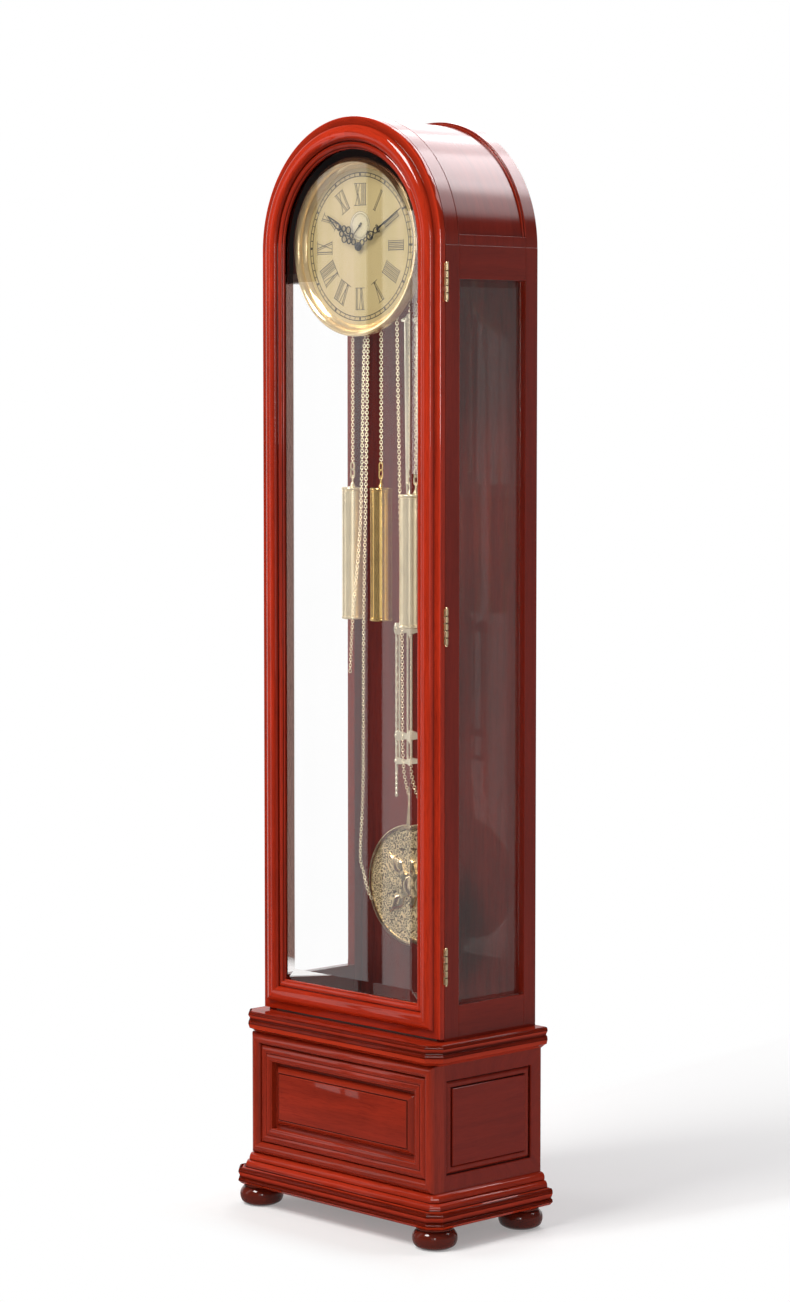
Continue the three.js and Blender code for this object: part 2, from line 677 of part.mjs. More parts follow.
function addHinges() {
  const knuckle = (hingeHeight - 2 * clearance) / 3;
  const leaf = (y0, y1, z0, z1) => box(caseHalfWidth - hingeLeafWidth, hingeAxisX, y0, y1, z0, z1);
  const barrel = (z, height, radius = hingeBarrelRadius) =>
    rod(P(hingeAxisX, hingeAxisY, z), 'z', height, radius, 10);
  ['lower', 'middle', 'upper'].forEach((name, i) => {
    const bottom = hingeZs[i] - hingeHeight / 2;
    const second = bottom + knuckle + clearance;
    const third = second + knuckle + clearance;
    const top = third + knuckle;
    const finial = (z, height, r0, r1) => rod(P(hingeAxisX, hingeAxisY, z), 'z', height, r0, 10, r1);
    const caseY0 = caseFrontY - doorGap * 0.2;
    const caseLeaf = cut(leaf(caseY0, caseFrontY + hingeLeafThickness, bottom, top),
      barrel(second - clearance, knuckle + 2 * clearance, hingeBarrelRadius + 0.5));
    add(`hinge_${name}_case_leaf`, join(
      caseLeaf, barrel(bottom, knuckle), barrel(third, knuckle),
      barrel(bottom, top - bottom, hingePinRadius),
      finial(bottom - hingeFinialHeight, hingeFinialHeight, hingeBarrelRadius * 0.5, hingeBarrelRadius),
      finial(top, hingeFinialHeight, hingeBarrelRadius, hingeBarrelRadius * 0.5),
    ), polishedBrass);
    const doorY1 = doorBackY + doorGap * 0.2;
    const doorLeaf = cut(leaf(doorBackY - hingeLeafThickness, doorY1, bottom, top),
      barrel(bottom - 1, knuckle + 1 + clearance, hingeBarrelRadius + 0.5),
      barrel(third - clearance, knuckle + clearance + 1, hingeBarrelRadius + 0.5));
    add(`hinge_${name}_door_leaf`, cut(
      join(doorLeaf, barrel(second, knuckle)),
      barrel(second - 1, knuckle + 2, hingePinRadius + clearance),
    ), polishedBrass);
  });
  const catchX = -caseInnerHalfWidth + catchGap;
  const catchBottom = hingeZs[1] - catchHeight / 2;
  add('door_catch', box(catchX, catchX + catchWidth, doorBackY, doorBackY + catchDepth,
    catchBottom, catchBottom + catchHeight), blackSteel);
}

// ---------- dial and hands ----------
function addDial() {
  const behind = dialFaceY + dialThickness;
  const footX = plateWidth / 2 - dialFootInset;
  const footZs = [seatTopZ + dialFootInset, seatTopZ + plateHeight - dialFootInset];
  const feet = [-footX, footX].flatMap((x) => footZs.map((z) => rod(
    P(x, behind - 0.5, z), 'y', plateBehindDial + 0.5, dialFootRadius, 10)));
  const disc = turnedAlongY([[0, dialFaceY], [dialRadius, dialFaceY], [dialRadius, behind], [0, behind]], 32)
    .translate(0, 0, dialZ);
  const hole = (x, z, radius) => rod(P(x, dialFaceY - 1, z), 'y', dialThickness + 2, radius, 12);
  add('dial_plate', join(
    cut(disc, hole(0, dialZ, dialHoleRadius), hole(0, dialZ + secondsRise, secondsHoleRadius)),
    ...feet), dialGold);
  addBezel();
}

function addBezel() {
  const inner = bezelRadius - bezelWidth;
  const edge = dialRadius + clearance;
  const section = [
    [inner, 0], [inner, 0.05], [inner + 0.32 * bezelWidth, 0.41], [inner + 0.5 * bezelWidth, 0.72],
    [inner + 0.72 * bezelWidth, 0.96], [inner + 0.92 * bezelWidth, 1], [bezelRadius, 0.85],
  ].map(([r, rise]) => [r, dialFaceY - rise * bezelHeight]);
  const rear = dialFaceY + dialThickness;
  const back = [[bezelRadius, rear], [edge, rear], [edge, dialFaceY]];
  const closed = [...section, ...back, section[0]];
  add('dial_bezel', turnedAlongY(closed, 32).translate(0, 0, dialZ), polishedBrass);
}

// A hand drawn pointing up from its hub: [distance along, half width] from tail to tip.
function handOutline(shape) {
  const right = shape.map(([s, w]) => [w, s]);
  const left = shape.map(([s, w]) => [-w, s]).reverse();
  return [...right, ...left];
}

function addHand(name, shape, centreZ, y, angle, bore, hubRadius, arborBackY) {
  const blade = plate(handOutline(shape), y - handThickness, y);
  const start = y - handThickness - hubProud;
  let geometry = join(blade, rod(P(0, start, 0), 'y', arborBackY - start, hubRadius, 10));
  if (bore) geometry = cut(geometry, rod(P(0, start - 1, 0), 'y', arborBackY - start + 2, bore, 12));
  geometry.rotateY(rad(angle));
  add(name, geometry.translate(0, 0, centreZ), blackSteel);
}

function addHands() {
  const secondsY = dialFaceY - handGap;
  const hourY = secondsY - handThickness - handGap;
  const minuteY = hourY - handThickness - handGap;
  const arborEnd = frontPlateY - clearance;
  const spade = (length, hub) => [
    [-hub, hub * 0.35], [-hub * 0.7, hub * 0.75], [0, hub], [hub * 0.7, hub * 0.75], [hub, 2],
    [0.3 * length, 2.2], [0.36 * length, 6.5], [0.46 * length, 8], [0.55 * length, 5],
    [0.62 * length, 2], [0.66 * length, 4.5], [0.72 * length, 2.2], [0.97 * length, 1], [length, 0.4],
  ];
  addHand('minute_hand', spade(minuteHandLength, 7), dialZ, minuteY, minuteHandAngle, 0,
    centreArborRadius, arborEnd);
  addHand('hour_hand', spade(hourHandLength, 8), dialZ, hourY, hourHandAngle, centreArborRadius + clearance,
    centreArborRadius + 2, arborEnd);
  const slim = [
    [-8, 1], [-7, 1.6], [-3, 0.8], [-1.8, 1.8], [0, 2.4], [1.8, 1.8], [3, 0.7], [secondsHandLength, 0.4],
  ];
  addHand('seconds_hand', slim, dialZ + secondsRise, secondsY, secondsHandAngle, 0,
    secondsArborRadius, arborEnd);
}

// ---------- movement ----------
const trainX = [-weightSpacing + tailSpread / 2, -tailSpread / 2, weightSpacing - tailSpread / 2];
const trainNames = ['left', 'centre', 'right'];

function addMovement() {
  const half = plateWidth / 2;
  const topZ = seatTopZ + plateHeight;
  const holes = (y) => trainX.map((x) =>
    rod(P(x, y - 1, sprocketZ), 'y', plateThickness + 2, pivotHoleRadius, 12));
  const front = box(-half, half, frontPlateY, frontPlateY + plateThickness, seatTopZ, topZ);
  add('movement_front_plate', cut(front, ...holes(frontPlateY)), movementBrass);
  const pillarX = half - pillarInset;
  const pillars = [[-1, 0], [-1, 1], [1, 0], [1, 1]].map(([side, up]) => rod(
    P(side * pillarX, frontPlateY + plateThickness, up ? topZ - pillarInset : seatTopZ + pillarInset),
    'y', plateSpacing + 0.5, pillarRadius, 8));
  const back = box(-half, half, backPlateY, backPlateY + plateThickness, seatTopZ, topZ);
  const bracket = box(-bracketHalfWidth, bracketHalfWidth, backPlateY + 1, pendulumY + bracketReach,
    suspensionZ + clearance, suspensionZ + bracketHeight);
  add('movement_back_plate', join(cut(back, ...holes(backPlateY)), ...pillars, bracket), movementBrass);
  const y0 = frontPlateY - plateBehindDial + seatFrontGap;
  const y1 = backPlateY + plateThickness + seatBoardMargin;
  const slotX = sprocketRadius + chainRadius + chainSlotMargin;
  const slotY = chainRadius + chainSlotMargin;
  const slots = trainX.map((x) => box(x - slotX, x + slotX, chainY - slotY, chainY + slotY,
    seatTopZ - seatBoardThickness - 1, seatTopZ + 1));
  const seat = box(-caseInnerHalfWidth, caseInnerHalfWidth, y0, y1,
    seatTopZ - seatBoardThickness, seatTopZ);
  add('seat_board', cut(seat, ...slots), darkWood);
}

function addChainWheels() {
  const start = frontPlateY + pivotEndGap;
  const end = backPlateY + plateThickness - pivotEndGap;
  const innerStart = frontPlateY + plateThickness + clearance;
  const innerEnd = backPlateY - clearance;
  const hub = sprocketRadius - chainRadius - clearance;
  const flange = sprocketRadius;
  const half = sprocketWidth / 2;
  trainNames.forEach((name, i) => {
    const wheelY = chainY + (name === 'centre' ? 1 : -1) * greatWheelOffset - greatWheelThickness / 2;
    const wheel = [[greatWheelRadius, wheelY], [greatWheelRadius, wheelY + greatWheelThickness]];
    const barrel = [
      [flange, chainY - half], [flange, chainY - half + 2], [hub, chainY - half + 2],
      [hub, chainY + half - 2], [flange, chainY + half - 2], [flange, chainY + half],
    ];
    const step = (points) => [[arborRadius, points[0][1]], ...points, [arborRadius, points.at(-1)[1]]];
    const order = name === 'centre' ? [...step(barrel), ...step(wheel)] : [...step(wheel), ...step(barrel)];
    const profile = [
      [0, start], [pivotRadius, start], [pivotRadius, innerStart], [arborRadius, innerStart],
      ...order,
      [arborRadius, innerEnd], [pivotRadius, innerEnd], [pivotRadius, end], [0, end],
    ];
    add(`chain_wheel_${name}`, turnedAlongY(profile, 12).translate(trainX[i], 0, sprocketZ), movementBrass);
  });
}

// A round tube along points, each ring set square to the way the route turns there.
function tube(points, radius, sides) {
  const rings = points.map((point, i) => {
    const before = points[Math.max(i - 1, 0)];
    const after = points[Math.min(i + 1, points.length - 1)];
    const along = after.clone().sub(before).normalize();
    const across = P(0, 1, 0).cross(along).normalize();
    const third = along.clone().cross(across);
    return [...Array(sides).keys()].map((k) => {
      const angle = 2 * Math.PI * k / sides;
      return point.clone()
        .addScaledVector(across, radius * Math.cos(angle))
        .addScaledVector(third, radius * Math.sin(angle));
    });
  });
  return loft(rings);
}

// Free ends of the chains. Each point holds its sideways and backward lean, as shares of tailLean,
// and its share of the way down the trunk.
const tailRoutes = {
  left: [[0, 0, 0.064], [0, -0.16, 0.124], [0, -0.35, 0.291], [0, -0.55, 0.369], [-0.13, -0.9, 0.457],
    [-0.29, -1, 0.54]],
  centre: [[0, 0, 0.064], [0, -0.19, 0.291], [-0.05, -0.32, 0.469], [-0.11, -0.32, 0.688],
    [-0.24, -0.42, 0.785], [-0.11, -0.29, 0.812], [0.15, -0.16, 0.838], [0.27, 0.13, 0.852]],
  right: [[0, 0, 0.064], [0.03, 0.19, 0.287], [0.03, 0.39, 0.493], [0.06, 0.42, 0.641], [0.1, 0.65, 0.689],
    [0.1, 1.1, 0.713], [0.1, 1.42, 0.733]],
};

function addChains() {
  const wrapSteps = 8;
  trainNames.forEach((name, i) => {
    const x = trainX[i];
    const weightSide = name === 'left' ? -1 : 1;
    const top = weightTopZ + weightHookHeight - (name === 'right' ? rightWeightDrop : 0) + clearance;
    const strandX = x + weightSide * sprocketRadius;
    const tailX = x - weightSide * sprocketRadius;
    const route = [P(strandX, chainY, top)];
    for (let k = 0; k <= wrapSteps; k++) {
      const angle = Math.PI * k / wrapSteps;
      route.push(P(x + weightSide * sprocketRadius * Math.cos(angle), chainY,
        sprocketZ + sprocketRadius * Math.sin(angle)));
    }
    for (const [dx, dy, down] of tailRoutes[name]) {
      route.push(P(tailX + dx * tailLean, chainY + dy * tailLean, downTrunk(down)));
    }
    add(`chain_${name}`, tube(route, chainRadius, 6), paleBrass);
  });
}

function addWeights() {
  const r = weightRadius;
  const hook = weightHookHeight;
  [-weightSpacing, 0, weightSpacing].forEach((x, i) => {
    const name = trainNames[i];
    const top = weightTopZ - (name === 'right' ? rightWeightDrop : 0);
    const profile = [
      [0, -weightLength], [r - 1, -weightLength], [r, -weightLength + 1], [r, -weightLength + 5],
      [r - 0.8, -weightLength + 6], [r - 0.8, -6], [r, -5], [r, -1], [r - 1, 0], [5, 0],
      [2, weightConeHeight], [2, hook - weightEyeHeight + 6], [0, hook - weightEyeHeight + 6],
    ];
    const eye = box(-weightEyeHalfWidth, weightEyeHalfWidth, -weightEyeThickness / 2, weightEyeThickness / 2,
      hook - weightEyeHeight, hook);
    add(`weight_${name}`, join(turned(profile, 16), eye).translate(x, chainY, top), polishedBrass);
  });
}

function addChime() {
  const bottom = seatTopZ + chimeRise;
  const block = box(-chimeBlockWidth / 2, chimeBlockWidth / 2, innerBackY - chimeBlockDepth, innerBackY,
    bottom, bottom + chimeBlockHeight);
  const gap = chimeBlockWidth / chimeRodCount;
  const rods = [...Array(chimeRodCount).keys()].map((k) => rod(
    P((k - (chimeRodCount - 1) / 2) * gap, innerBackY - chimeBlockDepth / 2, bottom + chimeBlockHeight - 1),
    'z', chimeRodLength - k * chimeRodStep, chimeRodRadius, 6));
  add('chime_rods', join(block, ...rods), blackSteel);
}

// ---------- pendulum ----------
function addPendulumLeader() {
  const h = headerHalfWidth;
  const rise = (share) => headerBottomZ + share * headerHeight;
  const half = [[h, 0], [h, 0.3], [0.6 * h, 0.5], [0.45 * h, 0.87], [0.2 * h, 1]];
  const outline = [
    ...half.map(([x, share]) => [x, rise(share)]),
    ...half.map(([x, share]) => [-x, rise(share)]).reverse(),
  ];
  const header = plate(outline, pendulumY - headerHalfDepth, pendulumY + headerHalfDepth);
  const parallelZ = headerBottomZ - bladeParallelLength;
  const blade = (x) => plate([
    [x - bladeFootWidth / 2, bladeFootZ], [x + bladeFootWidth / 2, bladeFootZ],
    [x + bladeTopWidth / 2, parallelZ], [x + bladeTopWidth / 2, headerBottomZ + 1],
    [x - bladeTopWidth / 2, headerBottomZ + 1], [x - bladeTopWidth / 2, parallelZ],
  ], pendulumY - bladeThickness / 2, pendulumY + bladeThickness / 2);
  add('pendulum_leader', join(
    header, blade(-bladeSpacing / 2), blade(bladeSpacing / 2),
    rod(P(0, pendulumY, headerTopZ - 1), 'z', suspensionZ - headerTopZ + 1, leaderRodRadius),
  ), paleBrass);
}

function addPendulumLattice() {
  const tipWidth = 3;
  const pointHalfWidth = 8;
  const bar = (top, height, half) => plate([
    [-half, 0.5], [tipWidth - half, 0.8], [-pointHalfWidth, 0.72], [0, 1], [pointHalfWidth, 0.72],
    [half - tipWidth, 0.8], [half, 0.5], [half - tipWidth, 0.2], [pointHalfWidth, 0.28], [0, 0],
    [-pointHalfWidth, 0.28], [tipWidth - half, 0.2],
  ].map(([x, down]) => [x, top - down * height]), pendulumY - barThickness / 2, pendulumY + barThickness / 2);
  const upright = (x, radius, from, to) => rod(P(x, pendulumY, from), 'z', to - from, radius, 6);
  const bowTieMiddle = bowTieTopZ - bowTieHeight / 2;
  const lowerMiddle = lowerBarTopZ - lowerBarHeight / 2;
  const rodEnd = lowerBarTopZ - lowerBarHeight - outerRodDrop;
  const pieces = [
    bar(bowTieTopZ, bowTieHeight, bowTieHalfWidth),
    bar(upperBarTopZ, upperBarHeight, barHalfWidth),
    bar(lowerBarTopZ, lowerBarHeight, barHalfWidth),
    upright(0, thickRodRadius, spadeTopZ, bowTieMiddle),
  ];
  for (const side of [-1, 1]) {
    pieces.push(
      upright(side * bladeSpacing / 2, thinRodRadius, bowTieMiddle, bladeFootZ),
      upright(side * nearRodOffset, thinRodRadius, lowerMiddle, bowTieMiddle),
      upright(side * innerRodOffset, thinRodRadius, lowerMiddle, bowTieMiddle),
      upright(side * outerRodOffset, thickRodRadius, rodEnd, bowTieMiddle),
    );
  }
  add('pendulum_lattice', join(...pieces), paleBrass);
}

function addPendulumBob() {
  const r = bobRadius;
  const t = bobThickness / 2;
  const lens = turnedAlongY([
    [0, -t], [r * 0.3, -t], [r * 0.34, -t * 0.7], [r * 0.9, -t * 0.45], [r, -t * 0.25], [r, t * 0.25],
    [r * 0.9, t * 0.6], [0, t],
  ], 32).translate(0, pendulumY, bobCentreZ);
  const top = spadeTopZ - clearance;
  const bottom = bobCentreZ + r * 0.9;
  const waist = top - 0.27 * (top - bottom);
  const side = [top, waist, bottom].map((z, i) => [spadeHalfWidths[i], z]);
  const flare = plate([...side.map(([x, z]) => [-x, z]), ...side.reverse()],
    pendulumY - spadeThickness / 2, pendulumY + spadeThickness / 2);
  add('pendulum_bob', join(lens, flare), polishedBrass);
}

addFeet();
addPlinth();
addBaseFront();
addBaseSides();
addSurbase();
addCaseBoards();
addSideFrames();
addHood();
addDoorFrame();
addHinges();
addDial();
addHands();
addMovement();
addChainWheels();
addChains();
addWeights();
addChime();
addPendulumLeader();
addPendulumLattice();
addPendulumBob();

export default clock;
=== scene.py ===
import math

import bpy
import numpy as np
from mathutils import Matrix, Vector


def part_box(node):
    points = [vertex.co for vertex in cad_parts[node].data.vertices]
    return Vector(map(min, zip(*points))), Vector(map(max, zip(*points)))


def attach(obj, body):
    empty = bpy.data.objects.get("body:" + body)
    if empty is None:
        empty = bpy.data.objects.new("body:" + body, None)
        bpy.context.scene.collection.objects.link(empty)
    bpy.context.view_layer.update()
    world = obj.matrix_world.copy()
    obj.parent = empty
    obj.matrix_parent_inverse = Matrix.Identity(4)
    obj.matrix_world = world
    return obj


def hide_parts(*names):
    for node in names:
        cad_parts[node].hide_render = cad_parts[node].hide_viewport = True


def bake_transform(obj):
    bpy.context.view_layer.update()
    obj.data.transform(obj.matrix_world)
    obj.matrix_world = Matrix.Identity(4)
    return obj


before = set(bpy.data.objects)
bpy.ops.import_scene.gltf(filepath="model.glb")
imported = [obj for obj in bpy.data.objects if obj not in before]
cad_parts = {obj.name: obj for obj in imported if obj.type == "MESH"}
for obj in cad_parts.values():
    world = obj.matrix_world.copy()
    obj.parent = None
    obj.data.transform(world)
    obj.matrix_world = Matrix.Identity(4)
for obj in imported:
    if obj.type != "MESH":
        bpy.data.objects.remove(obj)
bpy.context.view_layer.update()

bl_info = {
    "name": "Long-case clock",
    "version": (1, 0, 0),
    "blender": (4, 5, 0),
    "location": "View3D > Sidebar > Clock",
    "description": "Builds the visible pieces of an arched long-case clock around its frame",
    "category": "Add Mesh",
}


# ---------- sizes that the frame gives, in millimetres ----------
def corners(node):
    """Lowest and highest corner of a frame node."""
    low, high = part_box(node)
    return np.array(low) * 1000, np.array(high) * 1000


def middle(node):
    """The middle of a frame node's box."""
    low, high = corners(node)
    return (low + high) / 2


CASE_HALF = corners("door_arch")[1][0]
SPRING_Z = corners("door_arch")[0][2]
DIAL = middle("dial_bezel")
DIAL_FACE_Y = corners("dial_plate")[0][1]
WINDOW_FRONT_Y = corners("case_bottom_rail_right")[0][1]

# Sizes of the visible pieces that more than one of them needs, in millimetres.
SECONDS_Z = DIAL[2] + 37
DOOR_FRAME = 58


# ---------- surfaces ----------
def running_length(points, axis, closed):
    """Distance run along one axis of a grid of points, averaged over the other axis."""
    if closed:
        points = np.concatenate([points, np.take(points, [0], axis)], axis)
    steps = np.linalg.norm(np.diff(points, axis=axis), axis=-1).mean(axis=1 - axis)
    return np.concatenate([[0], np.cumsum(steps)])


def curve(points, steps):
    """A smooth line through the points: between two of them it is the cubic whose slope at each
    point is half the way from the point before it to the point after it."""
    p = np.array(points, float)
    padded = np.concatenate([2 * p[:1] - p[1:2], p, 2 * p[-1:] - p[-2:-1]])
    before, start, end, after = (padded[k:k + len(p) - 1] for k in range(4))
    t = np.linspace(0, 1, steps, endpoint=False)[None, :, None]
    before, start, end, after = (a[:, None, :] for a in (before, start, end, after))
    line = 0.5 * (2 * start + (end - before) * t + (2 * before - 5 * start + 4 * end - after) * t**2
                  + (3 * start - before - 3 * end + after) * t**3)
    return np.concatenate([line.reshape(-1, p.shape[1]), p[-1:]])


def arc(centre, radius, start, end, steps):
    """Points at a radius round a centre, by angle in degrees."""
    a = np.radians(np.linspace(start, end, steps + 1))
    return np.stack([centre[0] + radius * np.cos(a), centre[1] + radius * np.sin(a)], -1)


def hollows(grid, closed):
    """How far each point of a grid lies in a hollow: the ways to its two neighbours in each
    direction, made one long and added up, measured along the grid's normal. Ridges are negative,
    and wide flat faces fade the value out."""
    bends, across = [], []
    for axis in (0, 1):
        ahead, back = np.roll(grid, -1, axis) - grid, np.roll(grid, 1, axis) - grid
        if not closed[axis]:
            first, last = [slice(None)] * 2, [slice(None)] * 2
            first[axis], last[axis] = 0, -1
            back[tuple(first)] = -ahead[tuple(first)]
            ahead[tuple(last)] = -back[tuple(last)]
        sizes = [np.maximum(np.linalg.norm(way, axis=-1, keepdims=True), 1e-9) for way in (ahead, back)]
        ahead, back = ahead / sizes[0], back / sizes[1]
        bends.append((ahead + back) * np.clip(8 / np.maximum(*sizes), 0, 1))
        across.append(ahead - back)
    normal = np.cross(*across)
    normal /= np.maximum(np.linalg.norm(normal, axis=-1, keepdims=True), 1e-9)
    return (sum(bends) * normal).sum(-1).ravel() / 2


class Shape:
    """Closed surfaces gathered into one mesh. Points are in millimetres. Each face corner keeps
    how far it is along and across the grain, and each face which plank it belongs to."""

    def __init__(self):
        self.points, self.faces, self.grain, self.planks, self.slots = [], [], [], [], []
        self.hollow, self.count = [], 0

    def solid(self, grid, along=None, across=None, grain="rows", loop=False, plank=0.0, slot=0, painted_shade=0.0):
        """Adds a grid of points as a closed skin. Rows are stations along a path and each row is
        one closed section. loop closes the path; without it the two ends get caps. The skin is
        turned inside out if its volume comes out negative. The last argument paints shade on it, as
        lying in a hollow does."""
        grid = np.asarray(grid, float)
        n, m = grid.shape[:2]
        rows = running_length(grid, 0, loop)
        cols = running_length(grid, 1, True)
        i, j = np.meshgrid(np.arange(n if loop else n - 1), np.arange(m), indexing="ij")
        pairs = [(i, j), (i + 1, j), (i + 1, j + 1), (i, j + 1)]
        faces = np.stack([(a % n) * m + b % m for a, b in pairs], -1).reshape(-1, 4)
        if along is None:
            u = np.stack([rows[a] if grain == "rows" else cols[b] for a, b in pairs], -1)
            v = np.stack([cols[b] if grain == "rows" else rows[a] for a, b in pairs], -1)
        else:
            u = np.stack([along[a % n, b % m] for a, b in pairs], -1)
            v = np.stack([across[b] for a, b in pairs], -1)
        uv = np.stack([u, v], -1).reshape(-1, 4, 2)
        blocks = [(faces, uv)]
        if not loop:
            for row in (0, n - 1):
                ring_index = row * m + np.arange(m)
                order = ring_index if row == 0 else ring_index[::-1]
                flat = grid.reshape(-1, 3)[order]
                axis = np.argmin(flat.max(0) - flat.min(0))
                keep = [k for k in range(3) if k != axis]
                blocks.append((order[None], flat[None][..., keep]))
        self.add(grid.reshape(-1, 3), blocks, plank, slot, hollows(grid, (loop, True)), np.ravel(painted_shade))

    def add(self, points, blocks, plank=0.0, slot=0, hollow=0.0, painted_shade=0.0):
        """Adds points and blocks of faces, each block an array of faces with its grain places."""
        volume = 0.0
        for faces, _ in blocks:
            p = points[faces] - points.mean(0)
            fan = np.einsum("fi,fki->fk", p[:, 0], np.cross(p[:, 1:-1], p[:, 2:]))
            volume += fan.sum()
        for faces, uv in blocks:
            if volume < 0:
                faces, uv = faces[:, ::-1], uv[:, ::-1]
            self.faces += (faces + self.count).tolist()
            self.grain.append(np.asarray(uv, float).reshape(-1, 2))
            self.planks += [plank] * len(faces)
            self.slots += [slot] * len(faces)
        self.points.append(points)
        sign = -1.0 if volume < 0 else 1.0
        # Painted shade per point: the hollow, turned with the skin, plus the shade painted on by place.
        self.hollow.append(sign * hollow + painted_shade + np.zeros(len(points)))
        self.count += len(points)

    def turned(self, profile, centre, axis="z", sides=48, plank=0.0, slot=0):
        """Carries [radius, height] round an axis. A radius of nought is one pole point."""
        r, h = np.array(profile, float).T
        a = np.linspace(0, 2 * math.pi, sides, endpoint=False)
        inside = r > 1e-6
        first, last = (0 if inside[0] else 1), (len(r) if inside[-1] else len(r) - 1)
        rr, hh = r[first:last, None], h[first:last, None]
        x, y, z = rr * np.cos(a), rr * np.sin(a), hh + 0 * a
        spin = {"z": (x, y, z), "y": (x, z, y), "x": (z, x, y)}[axis]
        rings = np.stack(spin, -1)
        n = len(rings)
        points = rings.reshape(-1, 3)
        run = np.concatenate([[0], np.cumsum(np.hypot(np.diff(r), np.diff(h)))])[first:last]
        i, j = np.meshgrid(np.arange(n - 1), np.arange(sides), indexing="ij")
        pairs = [(i, j), (i + 1, j), (i + 1, j + 1), (i, j + 1)]
        girth = np.median(r[first:last]) * np.linspace(0, 2 * math.pi, sides + 1)
        blocks = [(np.stack([p * sides + q % sides for p, q in pairs], -1).reshape(-1, 4),
                   np.stack([np.stack([girth[q], run[p]], -1) for p, q in pairs], -2).reshape(-1, 4, 2))]
        k = np.arange(sides)
        for final, pole in ((False, first == 1), (True, last == len(r) - 1)):
            ring = (n - 1 if final else 0) * sides + k
            if pole:
                height = h[-1] if final else h[0]
                tip = np.array({"z": (0, 0, height), "y": (0, height, 0), "x": (height, 0, 0)}[axis])
                points = np.concatenate([points, tip[None]])
                tri = np.stack([ring, np.roll(ring, -1), np.full(sides, len(points) - 1)], -1)
            else:
                tri = ring[None]
            if final:
                tri = tri[:, ::-1]
            flat = points[tri][..., {"z": (0, 1), "y": (0, 2), "x": (1, 2)}[axis]]
            blocks.append((tri, flat))
        hollow = np.concatenate([hollows(rings, (False, True)), np.zeros(len(points) - n * sides)])
        self.add(points + np.asarray(centre, float), blocks, plank, slot, hollow)

    def ribbon(self, path, width, y0, y1, loop=False, crown=0.0, slot=0):
        """A strip in the X-Z plane: a line widened to both sides, given thickness from y0 to y1.
        With crown, its front is raised along the middle by that much."""
        path = np.asarray(path, float)
        along = np.roll(path, -1, 0) - np.roll(path, 1, 0) if loop else np.gradient(path, axis=0)
        along /= np.linalg.norm(along, axis=1)[:, None]
        side = np.stack([along[:, 1], -along[:, 0]], -1)
        half = np.broadcast_to(np.asarray(width, float), (len(path),))[:, None] / 2
        place = lambda s, y: np.insert(path + s * half * side, 1, y, axis=1)
        section = [place(-1, y1), place(-1, y0), place(1, y0), place(1, y1)]
        if crown:
            section.insert(2, place(0, y0 - crown))
        self.solid(np.stack(section, 1), loop=loop, slot=slot)

    def outline(self, rings, plank=0.0, grain="ring"):
        """Rings of points with the same count, skinned one to the next and capped at both ends."""
        self.solid(np.stack([np.asarray(r, float) for r in rings]), grain=grain, plank=plank)

    def board(self, low, high, axis, ease, plank=0.0):
        """A board whose section is a rectangle with eased corners. The section shrinks by the
        ease at both ends, so that those edges are eased too."""
        low, high = np.array(low, float), np.array(high, float)
        across = [k for k in range(3) if k != axis]
        q = np.radians(np.arange(0, 91, 45))
        signs = np.repeat([[1, 1], [-1, 1], [-1, -1], [1, -1]], 3, 0)
        turn = np.concatenate([np.stack([np.cos(q + k * math.pi / 2), np.sin(q + k * math.pi / 2)], -1)
                               for k in range(4)])
        half = (high - low)[across] / 2
        mid = (high + low)[across] / 2
        rows, ends = [], [(low[axis], 1), (low[axis] + 0.3 * ease, 0.3), (low[axis] + ease, 0),
                          (high[axis] - ease, 0), (high[axis] - 0.3 * ease, 0.3), (high[axis], 1)]
        for place, shrink in ends:
            flat = mid + signs * (half - ease - shrink * ease * 0.999) + turn * ease
            row = np.empty((len(flat), 3))
            row[:, across], row[:, axis] = flat, place
            rows.append(row)
        self.solid(np.stack(rows), plank=plank)

    def object(self, name, body, *looks, covers=None, sharp=32):
        """Puts everything into one mesh object with the named finishes, one for each slot number.
        It rides a body and stands for a frame node, which is its namesake unless told."""
        mesh = bpy.data.meshes.new(name)
        mesh.from_pydata((np.concatenate(self.points) * 0.001).tolist(), [], self.faces)
        layer = mesh.uv_layers.new(name="grain")
        layer.data.foreach_set("uv", (np.concatenate(self.grain) * 0.001).astype(np.float32).ravel())
        mark = mesh.attributes.new("plank", "FLOAT", "FACE")
        mark.data.foreach_set("value", np.array(self.planks, np.float32))
        # Each point's amount of painted shade: how deep it lies in a hollow, plus any shade painted on by
        # place. Ridges come out negative and get a painted highlight.
        hollow_shading = mesh.attributes.new("hollow", "FLOAT", "POINT")
        hollow_shading.data.foreach_set("value", np.concatenate(self.hollow).astype(np.float32))
        for look in looks:
            mesh.materials.append(finish(look))
        mesh.polygons.foreach_set("material_index", np.array(self.slots, np.int32))
        mesh.validate()
        mesh.shade_smooth()
        mesh.set_sharp_from_angle(angle=math.radians(sharp))
        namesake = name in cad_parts
        piece = bpy.data.objects.new(name + "_finished" if namesake else name, mesh)
        bpy.context.scene.collection.objects.link(piece)
        if body:
            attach(piece, body)
        if covers or namesake:
            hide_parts(covers or name)
        return piece


def soften(piece, width):
    """Rounds the sharp edges of a piece by a width in millimetres."""
    bevel = piece.modifiers.new("soft edges", "BEVEL")
    bevel.width, bevel.segments, bevel.harden_normals = width * 0.001, 2, True
    bevel.limit_method, bevel.angle_limit = "ANGLE", math.radians(32)


# ---------- shader pieces ----------
def feed(tree, slot, value):
    """Links a socket into a slot, or sets the slot to a plain value."""
    if isinstance(value, bpy.types.NodeSocket):
        tree.links.new(value, slot)
    else:
        slot.default_value = value


def wire(tree, made, **values):
    """Feeds a node's named inputs, each from a socket or with a plain value."""
    for key, value in values.items():
        feed(tree, made.inputs[key.replace("_", " ")], value)
    return made


